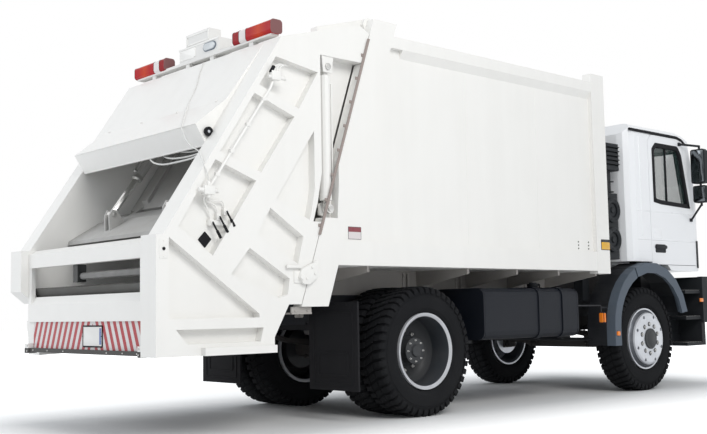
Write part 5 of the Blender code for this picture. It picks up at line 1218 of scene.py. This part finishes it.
for y in (0.832, 2.338):
    slab(weld, box_outline((0.5185, 0.6685), (1.2015, 1.1815)), lambda u, v, w: at(u, y + w, v), 0.006, 0.080, 0.002,
         frame=0.006)
keep("tank_end_seams", weld, tank_paint, "truck")
for side, sign in (("left", -1), ("right", 1)):
    rail = bmesh.new()
    if sign > 0:
        tube(rail, (at(1.150, 2.362, 0.992), at(1.150, 2.80, 0.990), at(1.150, 2.850, 0.990), at(1.150, 2.850, 0.90)),
             0.009, 0.04)
        bar(rail, at(1.150, 2.355, 0.992), at(1.150, 2.375, 0.992), 0.020, 16, 0.002)
    else:
        tube(rail, (at(-1.100, 1.655, 0.94), at(-1.150, 1.80, 0.96), at(-1.150, 2.850, 0.96),
                    at(-1.150, 2.850, 0.90)), 0.009, 0.05)
    tube(rail, (at(sign * 1.150, 2.850, 0.965), at(sign * 1.150, 2.975, 0.965)), 0.009)
    block(rail, at(sign * 1.165 - 0.030, 2.836, 0.795), at(sign * 1.165 + 0.030, 2.866, 0.915), 0.004)
    keep(f"guard_rail_{side}", rail, frame_paint, "truck")
    lamps = bmesh.new()
    slab(lamps, box_outline((sign * 1.165 - 0.024, 0.803), (sign * 1.165 + 0.024, 0.907)), on_back(2.836), 0.014,
         0.010, 0.004)
    slab(lamps, box_outline((2.838, 0.805), (2.864, 0.905)), on_side(sign, 1.195), 0.008, 0.006, 0.002)
    slab(lamps, box_outline((2.990, 0.652), (3.045, 0.700)), on_side(sign, 1.2496), 0.014, 0.010, 0.003)
    keep(f"marker_lamps_{side}", lamps, amber_lens, "truck")
print("tank and markers made")

# %% [markdown]
# ## The cab's glass and rubbers
# Each door has one window in a thick black rubber, and the windscreen sits in another. The door's
# outline follows the pillar, so the rubber is the outline itself, inset once, and the pane fills
# the middle. A drip rail runs along the roof's edge and down the pillar.

# %% Door windows, handles and rails
WINDOW = ((4.03, 2.22), (4.20, 2.20), (4.86, 2.18), (4.70, 2.85), (4.62, 2.95), (4.11, 2.95), (4.03, 2.87))
for side, sign in (("left", -1), ("right", 1)):
    door = f"{side}_door"
    rubber = bmesh.new()
    slab(rubber, WINDOW, on_side(sign, 1.100), 0.056, 0.030, 0.004, frame=0.052)
    block(rubber, at(sign * 1.1275 - 0.012, 4.345, 2.20), at(sign * 1.1275 + 0.012, 4.365, 2.94), 0.003)
    keep(f"window_rubber_{side}", rubber, soft_rubber, door)
    panes = bmesh.new()
    slab(panes, WINDOW, on_side(sign, 1.1240), 0.006, 0.030)
    keep(f"window_pane_{side}", panes, cab_glass, door)
    handle = bmesh.new()
    slab(handle, box_outline((4.024, 1.612), (4.250, 1.712)), on_side(sign, 1.1502), 0.004, 0.018, 0.001)
    slab(handle, box_outline((4.014, 1.660), (4.262, 1.700)), on_side(sign, 1.1535), 0.016, 0.016, 0.005)
    bar(handle, at(sign * 1.153, 4.225, 1.635), at(sign * 1.159, 4.225, 1.635), 0.011, 20, 0.002)
    keep(f"door_handle_{side}", handle, black_plastic, door)
    patch = bmesh.new()
    slab(patch, box_outline((3.980, 1.780), (4.180, 1.900)), on_side(sign, 1.1501), 0.0025, 0.012, 0.001)
    keep(f"door_patch_{side}", patch, cab_paint, door)
    creases = bmesh.new()
    bar(creases, at(sign * 1.1475, 3.965, 1.765), at(sign * 1.1475, 4.935, 1.765), 0.008, 12, 0.003)
    bar(creases, at(sign * 1.1475, 3.965, 2.105), at(sign * 1.1475, 4.925, 2.105), 0.007, 12, 0.003)
    keep(f"door_creases_{side}", creases, cab_paint, door)
    panel = bmesh.new()
    bar(panel, at(sign * 1.1475, 3.650, 1.765), at(sign * 1.1475, 3.935, 1.765), 0.008, 12, 0.003)
    bar(panel, at(sign * 1.1475, 3.650, 2.105), at(sign * 1.1475, 3.935, 2.105), 0.007, 12, 0.003)
    bar(panel, at(sign * 1.1475, 3.755, 1.80), at(sign * 1.1475, 3.755, 3.00), 0.007, 12, 0.003)
    bar(panel, at(sign * 1.1475, 3.655, 1.78), at(sign * 1.1475, 3.655, 3.02), 0.005, 12, 0.002)
    keep(f"rear_panel_creases_{side}", panel, cab_paint, "cab")
    rail = bmesh.new()
    tube(rail, (at(sign * 1.154, 3.560, 3.062), at(sign * 1.154, 4.600, 3.060), at(sign * 1.151, 4.720, 3.035),
                at(sign * 1.146, 4.800, 2.99)), 0.0165, 0.03)
    keep(f"drip_rail_{side}", rail, soft_rubber, "cab")
    corner = bmesh.new()
    lathe(corner, ((0.0, 0.1405), (0.0, 0.1465), (0.34, 0.1465), (0.34, 0.1405)), (0, 0, 0), 64)
    bmesh.ops.rotate(corner, verts=corner.verts, cent=(0, 0, 0), matrix=Matrix.Rotation(math.radians(-90), 3, "Y"))
    for normal in ((-sign, 0, 0), (0, -1, 0)):
        cut = bmesh.ops.bisect_plane(corner, geom=list(corner.verts) + list(corner.edges) + list(corner.faces),
                                     plane_co=(0, 0, 0), plane_no=normal, clear_outer=True)["geom_cut"]
        bmesh.ops.contextual_create(corner, geom=[item for item in cut if isinstance(item, bmesh.types.BMEdge)])
    bmesh.ops.translate(corner, verts=corner.verts, vec=at(sign * 1.01, 4.96, 1.44))
    keep(f"corner_deflector_{side}", corner, black_plastic, "cab")
print("doors dressed")

# %% Windscreen, wipers and grille
FOOT, HEAD = Vector((5.06, 2.15)), Vector((4.87, 2.98))


def on_screen(lift):
    """Puts (u, v) on the sloped windscreen: u across, v its height."""
    def spot(u, v, w):
        share = (v - FOOT.y) / (HEAD.y - FOOT.y)
        return at(u, FOOT.x + share * (HEAD.x - FOOT.x) + lift + w, v)
    return spot


screen = bmesh.new()
slab(screen, box_outline((-0.979, 2.171), (0.979, 2.949)), on_screen(-0.006), 0.012, 0.05, 0.003, frame=0.045)
keep("windscreen_rubber", screen, soft_rubber, "cab")
wipers = bmesh.new()
for foot_x, tip_x in ((-0.62, 0.02), (0.10, 0.74)):
    start = on_screen(0.0)(foot_x, 2.155, 0.028)
    middle = on_screen(0.0)((foot_x + tip_x) / 2 + 0.05, 2.215, 0.022)
    bar(wipers, start - Vector((0, 0.03, 0)), start + Vector((0, 0.012, 0)), 0.018, 24, 0.003)
    tube(wipers, (start, start.lerp(middle, 0.35) + Vector((0, 0.004, 0)), middle), 0.007, 0.03)
    low, high = on_screen(0.0)(middle.x - 0.36, 2.200, 0.012), on_screen(0.0)(middle.x + 0.36, 2.230, 0.012)
    bar(wipers, low, high, 0.006, 12, 0.001)
    tube(wipers, (low.lerp(high, 0.2), low.lerp(high, 0.3) + Vector((0, 0.012, 0)),
                  low.lerp(high, 0.7) + Vector((0, 0.012, 0)), low.lerp(high, 0.8)), 0.004, 0.02)
keep("wipers", wipers, soft_rubber, "cab")
grille = bmesh.new()
for number in range(5):
    z = 1.4605 + 0.085 * number
    block(grille, at(-0.7795, 5.062, z), at(0.7795, 5.082, z + 0.044), 0.002)
for number in range(27):
    x = -0.78 + 0.06 * number
    block(grille, at(x - 0.006, 5.078, 1.452), at(x + 0.006, 5.088, 1.852), 0.002)
keep("grille_mesh", grille, black_plastic, "cab")
slats = bmesh.new()
for number in range(5):
    z = 1.4605 + 0.085 * number
    block(slats, at(-0.7790, 5.0905, z + 0.034), at(0.7790, 5.1035, z + 0.0435), 0.003)
keep("grille_strips", slats, silver_paint, "cab")
brow = bmesh.new()
block(brow, at(-0.80, 5.0995, 1.900), at(0.80, 5.106, 1.906), 0.002)
for x in (-0.86, 0.86):
    block(brow, at(x - 0.003, 5.0995, 1.46), at(x + 0.003, 5.105, 1.90), 0.002)
keep("front_panel_seams", brow, cab_paint, "cab")
print("windscreen and grille made")

# %% [markdown]
# ## Lamps and steps at the front
# The bumper's recesses hold the headlamps: a bright bowl behind a ribbed lens, with an amber
# indicator at its outer end. Each tread of the steps has raised strips so that a boot grips.

# %% Headlamps, treads and mirrors
for side, sign in (("left", -1), ("right", 1)):
    bowls = bmesh.new()
    for x in (0.845, 0.965):
        ring = bmesh.new()
        lathe(ring, ((0.0, 0.0), (0.0, 0.052), (0.006, 0.056), (0.009, 0.052), (0.004, 0.0)), (0, 0, 0), 40)
        bmesh.ops.rotate(ring, verts=ring.verts, cent=(0, 0, 0), matrix=Matrix.Rotation(math.radians(90), 3, "Z"))
        bmesh.ops.translate(ring, verts=ring.verts, vec=at(sign * x, 5.1405, 1.03))
        joined(bowls, ring)
        ring.free()
    keep(f"lamp_bowls_{side}", bowls, chrome, "truck")
    glass = bmesh.new()
    span = sorted((sign * 0.775, sign * 1.032))
    slab(glass, box_outline((span[0], 0.925), (span[1], 1.135)), on_front(5.1525), 0.005, 0.020, 0.002)
    keep(f"headlamp_{side}", glass, lamp_glass, "truck")
    flash = bmesh.new()
    span = sorted((sign * 1.036, sign * 1.096))
    slab(flash, box_outline((span[0], 0.925), (span[1], 1.135)), on_front(5.1405), 0.016, 0.014, 0.003)
    slab(flash, box_outline((4.86, 1.015), (4.94, 1.060)), on_side(sign, 1.2198), 0.010, 0.010, 0.003)
    keep(f"front_indicator_{side}", flash, amber_lens, "truck")
    treads = bmesh.new()
    for z in (0.52, 0.84, 1.16):
        for number in range(6):
            y = 4.615 + 0.062 * number
            low, high = sorted((sign * 0.885, sign * 1.175))
            block(treads, at(low, y, z - 0.002), at(high, y + 0.022, z + 0.004), 0.002)
    keep(f"step_grips_{side}", treads, zinc, "truck")
    glass = bmesh.new()
    span = sorted((sign * (1.33 - 0.083), sign * (1.33 + 0.083)))
    slab(glass, box_outline((span[0], 2.494), (span[1], 2.896)), on_back(4.7795), 0.004, 0.022, 0.001)
    span = sorted((sign * (1.335 - 0.078), sign * (1.335 + 0.078)))
    slab(glass, box_outline((span[0], 2.254), (span[1], 2.441)), on_back(4.7895), 0.004, 0.022, 0.001)
    keep(f"mirror_glass_{side}", glass, mirror_glass, f"{side}_door")
    lip = bmesh.new()
    span = sorted((sign * (1.33 - 0.0935), sign * (1.33 + 0.0935)))
    slab(lip, box_outline((span[0], 2.4815), (span[1], 2.9085)), on_back(4.7802), 0.009, 0.028, 0.003, frame=0.012)
    span = sorted((sign * (1.335 - 0.0885), sign * (1.335 + 0.0885)))
    slab(lip, box_outline((span[0], 2.2415), (span[1], 2.4535)), on_back(4.7902), 0.009, 0.028, 0.003, frame=0.012)
    for z in (2.30, 2.62, 2.80):
        bar(lip, at(sign * 1.33, 4.832, z - 0.02), at(sign * 1.33, 4.832, z + 0.02), 0.017, 20, 0.002)
    keep(f"mirror_rims_{side}", lip, black_plastic, f"{side}_door")
print("front lamps, steps and mirrors made")

# %% [markdown]
# ## Air intake
# The inlet behind the cab is a rotary-moulded box. Its two round covers are held by a ring of
# screws round a dished middle, and slats cross the mouth at the top.

# %% Covers and slats on the air intake
covers = bmesh.new()
INTAKE_OUT, INTAKE_Y = 1.125, 3.20
for z in (1.74, 2.08):
    ring = bmesh.new()
    lathe(ring, ((0.0, 0.088), (0.0, 0.142), (0.006, 0.142), (0.012, 0.134), (0.012, 0.100), (0.004, 0.088)),
          at(INTAKE_OUT, INTAKE_Y, z), 64)
    joined(covers, ring)
    ring.free()
    dome = bmesh.new()
    lathe(dome, ((-0.020, 0.0), (-0.020, 0.082), (-0.012, 0.082), (-0.006, 0.060), (-0.012, 0.036), (0.004, 0.030),
                 (0.008, 0.0)),
          at(INTAKE_OUT, INTAKE_Y, z), 48)
    joined(covers, dome)
    dome.free()
    for number in range(8):
        turn = math.pi * (number + 0.5) / 4
        hexagon(covers, at(INTAKE_OUT + 0.011, INTAKE_Y + 0.117 * math.cos(turn), z + 0.117 * math.sin(turn)),
                (1, 0, 0), 0.008, 0.006)
keep("intake_covers", covers, black_plastic, "truck")
slats = bmesh.new()
for number in range(5):
    z = 2.616 + 0.05 * number
    block(slats, at(1.112, 3.050, z), at(1.134, 3.370, z + 0.012), 0.003)
for z in (2.30, 2.42):
    block(slats, at(0.795, 3.068, z), at(1.052, 3.352, z + 0.016), 0.004)
keep("intake_slats", slats, black_plastic, "truck")
print("air intake dressed")

# %% [markdown]
# ## Hoses and cable
# Three pale hoses leave fittings under the hood and sag across to the right side's inner wall, and
# a thin lamp cable lies on the cover, drops off the lip and ends in the valve. Each is a curve of
# one spline, because a curve keeps its true length and thickness. A route's corners are cut once or
# twice, which leaves a smooth line that starts and ends where it did.

# %% Hoses under the hood and the cable on the cover


def eased(points, rounds=2):
    """A route with its corners cut, so that it bends in long curves."""
    path = [Vector(point) for point in points]
    for _ in range(rounds):
        cut = [path[0]]
        for here, after in zip(path, path[1:]):
            cut += [here.lerp(after, 0.25), here.lerp(after, 0.75)]
        path = cut + [path[-1]]
    return path


def path_length(path):
    """Length along a route."""
    return sum((after - here).length for here, after in zip(path, path[1:]))


HOSES = (
    # (name, where it leaves the hood, points on its way, where it enters the side)
    ("hose_rear", (0.060, -2.285, 2.505), ((0.070, -2.285, 2.430), (0.150, -2.285, 2.290), (0.330, -2.283, 2.238),
     (0.560, -2.280, 2.236), (0.800, -2.276, 2.240), (0.930, -2.272, 2.262)), (1.016, -2.270, 2.275)),
    ("hose_middle", (0.250, -2.255, 2.530), ((0.252, -2.255, 2.450), (0.290, -2.258, 2.330), (0.430, -2.262, 2.282),
     (0.640, -2.258, 2.268), (0.830, -2.250, 2.272), (0.950, -2.246, 2.300)), (1.016, -2.244, 2.312)),
    ("hose_front", (0.430, -2.230, 2.550), ((0.432, -2.230, 2.480), (0.455, -2.232, 2.376), (0.560, -2.236, 2.326),
     (0.720, -2.234, 2.308), (0.860, -2.226, 2.312), (0.960, -2.221, 2.338)), (1.016, -2.218, 2.350)),
)
for name, start, way, end in HOSES:
    route = eased([at(*start), *(at(*point) for point in way), at(*end)])
    hose = strand(name, route, 0.008)
    hose.data.materials.append(white_hose)
    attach(hose, "tailgate")
    path_length(route)
    print(name, round(path_length(route), 3), "m")
fittings = bmesh.new()
for name, start, way, end in HOSES:
    first, last = at(*start), at(*end)
    bar(fittings, first + Vector((0, 0, 0.034)), first - Vector((0, 0, 0.022)), 0.0115, 20, 0.002)
    hexagon(fittings, first + Vector((0, 0, 0.004)), (0, 0, 1), 0.017, 0.020)
    bar(fittings, last - Vector((0.030, 0, 0)), last + Vector((0.010, 0, 0)), 0.0115, 20, 0.002)
    hexagon(fittings, last - Vector((0.008, 0, 0)), (1, 0, 0), 0.017, 0.018)
keep("hose_fittings", fittings, zinc, "tailgate")
lead_way = [(0.120, -1.716, 3.252), (0.173, -1.790, 3.150), (0.331, -1.938, 2.950), (0.400, -2.068, 2.775),
            (0.455, -2.116, 2.722),
            (0.600, -2.226, 2.634), (0.740, -2.336, 2.546), (0.840, -2.410, 2.484), (0.875, -2.424, 2.440),
            (0.925, -2.420, 2.350), (0.995, -2.404, 2.290), (1.060, -2.396, 2.262), (1.120, -2.420, 2.220),
            (1.190, -2.450, 2.172), (1.240, -2.470, 2.138), (1.264, -2.462, 2.085), (1.276, -2.446, 2.030),
            (1.278, -2.445, 1.988)]
route = eased([at(*point) for point in lead_way], 1)
lead = strand("lamp_cable", route, 0.004)
lead.data.materials.append(white_hose)
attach(lead, "tailgate")
path_length(route)
print("lamp_cable", round(path_length(route), 3), "m")

# %% [markdown]
# ## Seats
# Two seats on one sheet-steel base fill the cab. A cushion bulges because foam pushes its cover
# out, so each pad starts as a plain softened block a little too small, gets an even skin from a
# voxel remesh, and is blown up by a short cloth simulation with pressure and no gravity. The
# distance that any point may move is capped, and the result is kept as a plain mesh.

# %% Padded seats


def plain_mesh(piece):
    """Keeps what the modifiers make as the piece's own mesh."""
    bpy.context.view_layer.update()
    made = bpy.data.meshes.new_from_object(piece.evaluated_get(bpy.context.evaluated_depsgraph_get()))
    piece.modifiers.clear()
    piece.data = made


def puff(piece, limit, voxel):
    """Blows a pad up like foam under its cover, no further than a limit."""
    skin = piece.modifiers.new("skin", "REMESH")
    skin.mode = "VOXEL"
    skin.voxel_size = voxel
    plain_mesh(piece)
    rest = [vertex.co.copy() for vertex in piece.data.vertices]
    cloth = piece.modifiers.new("cloth", "CLOTH")
    cloth.settings.use_pressure = True
    cloth.settings.uniform_pressure_force = 4.0
    cloth.settings.effector_weights.gravity = 0.0
    cloth.point_cache.frame_start = 1
    cloth.point_cache.frame_end = 20
    scene = bpy.context.scene
    for number in range(1, 21):
        scene.frame_set(number)
        puffed = piece.evaluated_get(bpy.context.evaluated_depsgraph_get())
        spots = [vertex.co.copy() for vertex in puffed.data.vertices]
    piece.modifiers.clear()
    scene.frame_set(1)
    for vertex, start, end in zip(piece.data.vertices, rest, spots):
        move = end - start
        vertex.co = start + move * min(1.0, limit / max(move.length, 1e-9))
    piece.data.shade_smooth()


def pad(name, low, high, lean, limit, voxel, fold=0.035):
    """A block leaning back by `lean` per metre of height, then puffed up."""
    bm = bmesh.new()
    block(bm, low, high)
    soften(bm, list(bm.edges), fold, 4)
    middle = Vector(low).lerp(Vector(high), 0.5)
    for vert in bm.verts:
        vert.co.y -= lean * (vert.co.z - middle.z)
    piece = keep(name, bm, seat_cloth, "cab", smooth=0)
    puff(piece, limit, voxel)
    return piece


base = bmesh.new()
block(base, at(-0.860, 3.755, 1.562), at(0.860, 4.145, 1.790), 0.012)
for sign in (-1, 1):
    block(base, at(sign * 0.55 - 0.205, 3.790, 1.775), at(sign * 0.55 + 0.205, 4.200, 1.802), 0.006)
    bar(base, at(sign * 0.55 - 0.235, 4.120, 1.790), at(sign * 0.55 - 0.235, 4.185, 1.770), 0.010, 16, 0.003)
    for x in (-0.07, 0.07):
        bar(base, at(sign * 0.55 + x, 3.695, 2.560), at(sign * 0.55 + x, 3.682, 2.640), 0.006, 16)
base_piece = keep("seat_base", base, black_plastic, "cab")
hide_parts("cab_seats")
for side, sign in (("left", -1), ("right", 1)):
    x = sign * 0.55
    pad(f"seat_cushion_{side}", at(x - 0.236, 3.765, 1.800), at(x + 0.236, 4.242, 1.942), 0.0, 0.012, 0.012)
    pad(f"seat_back_{side}", at(x - 0.226, 3.688, 1.935), at(x + 0.226, 3.798, 2.575), 0.155, 0.012, 0.012)
    pad(f"headrest_{side}", at(x - 0.120, 3.642, 2.618), at(x + 0.120, 3.716, 2.770), 0.05, 0.007, 0.009, 0.025)
piping = bmesh.new()
for sign in (-1, 1):
    for off in (-0.105, 0.105):
        tube(piping, (at(sign * 0.55 + off, 3.83, 1.9505), at(sign * 0.55 + off, 4.19, 1.9505)), 0.003)
keep("seat_seams", piping, soft_rubber, "cab")
print("seats made")

# %% [markdown]
# ## Floor, backdrop and light
# The photograph is a cut-out on white with a soft shadow. A pale floor catches the shadow, and the
# sky around it is white to the camera and to reflections only, so that the white does not light
# the truck a second time. The floor glows a little to the same rays. It glows more with distance
# from the truck's footprint, so the weak glow near the footprint paints a shadow round the truck
# on top of the cast one, and the strong glow further out hides the horizon. Two broad lamps
# and a dim sky do the lighting.

# %% Stage


def looked_at(tree):
    """1 for rays that a viewer sees straight, in a reflection or through glass."""
    rays = tree.nodes.new("ShaderNodeLightPath")
    names = ("Is Camera Ray", "Is Glossy Ray", "Is Transmission Ray")
    camera_ray, glossy, through = [Wire(tree, rays.outputs[name]) for name in names]
    return (camera_ray + glossy + through).held()


def floor_finish():
    made = Finish("floor_pale", Roughness=0.9, Specular_IOR_Level=0.0, Emission_Strength=1.0)
    spread = made.noise(0.4, 2.0)
    made.set("Base Color", made.blend(spread * 0.04, (0.86, 0.86, 0.86), (0.82, 0.82, 0.82)))
    off_x = made.x.math("MAXIMUM", abs(made.x) - 1.2)
    off_y = made.y.math("MAXIMUM", abs(made.y) - 3.9)
    off = made.x.math("SQRT", off_x * off_x + off_y * off_y)
    # A weak glow within 1.2 m of the footprint: a painted shadow round the truck.
    near = (off / 1.2).held()
    far = ((off - 1.2) / 6.0).held()
    made.set("Emission Color", (near * 0.44 + far * 0.6) * looked_at(made.tree))
    return made.material


ground = bmesh.new()
bmesh.ops.create_grid(ground, x_segments=1, y_segments=1, size=60.0)
mesh = bpy.data.meshes.new("floor")
ground.to_mesh(mesh)
floor = bpy.data.objects.new("floor", mesh)
mesh.materials.append(floor_finish())
bpy.context.scene.collection.objects.link(floor)

world = bpy.data.worlds.new("sky")
bpy.context.scene.world = world
world.use_nodes = True
sky = world.node_tree
sky.nodes.clear()
dim = sky.nodes.new("ShaderNodeBackground")
dim.inputs["Color"].default_value = (0.92, 0.96, 1.0, 1.0)
dim.inputs["Strength"].default_value = 0.62
white = sky.nodes.new("ShaderNodeBackground")
white.inputs["Color"].default_value = (1.0, 1.0, 1.0, 1.0)
white.inputs["Strength"].default_value = 1.0
either = sky.nodes.new("ShaderNodeMixShader")
result = sky.nodes.new("ShaderNodeOutputWorld")
plug(sky, looked_at(sky), either.inputs[0])
sky.links.new(dim.outputs[0], either.inputs[1])
sky.links.new(white.outputs[0], either.inputs[2])
sky.links.new(either.outputs[0], result.inputs["Surface"])


def area_light(name, place, target, size, power, colour):
    data = bpy.data.lights.new(name, "AREA")
    data.shape = "DISK"
    data.size = size
    data.energy = power
    data.color = colour
    made = bpy.data.objects.new(name, data)
    made.location = place
    made.rotation_euler = (Vector(target) - Vector(place)).to_track_quat("-Z", "Y").to_euler()
    bpy.context.scene.collection.objects.link(made)


area_light("key_light", (11.0, -4.5, 8.5), (0, 0, 1.5), 6.0, 720.0, (1.0, 0.99, 0.97))
area_light("fill_light", (-5.0, -11.0, 6.0), (0, 0, 1.5), 7.0, 320.0, (0.95, 0.97, 1.0))
print("stage set")
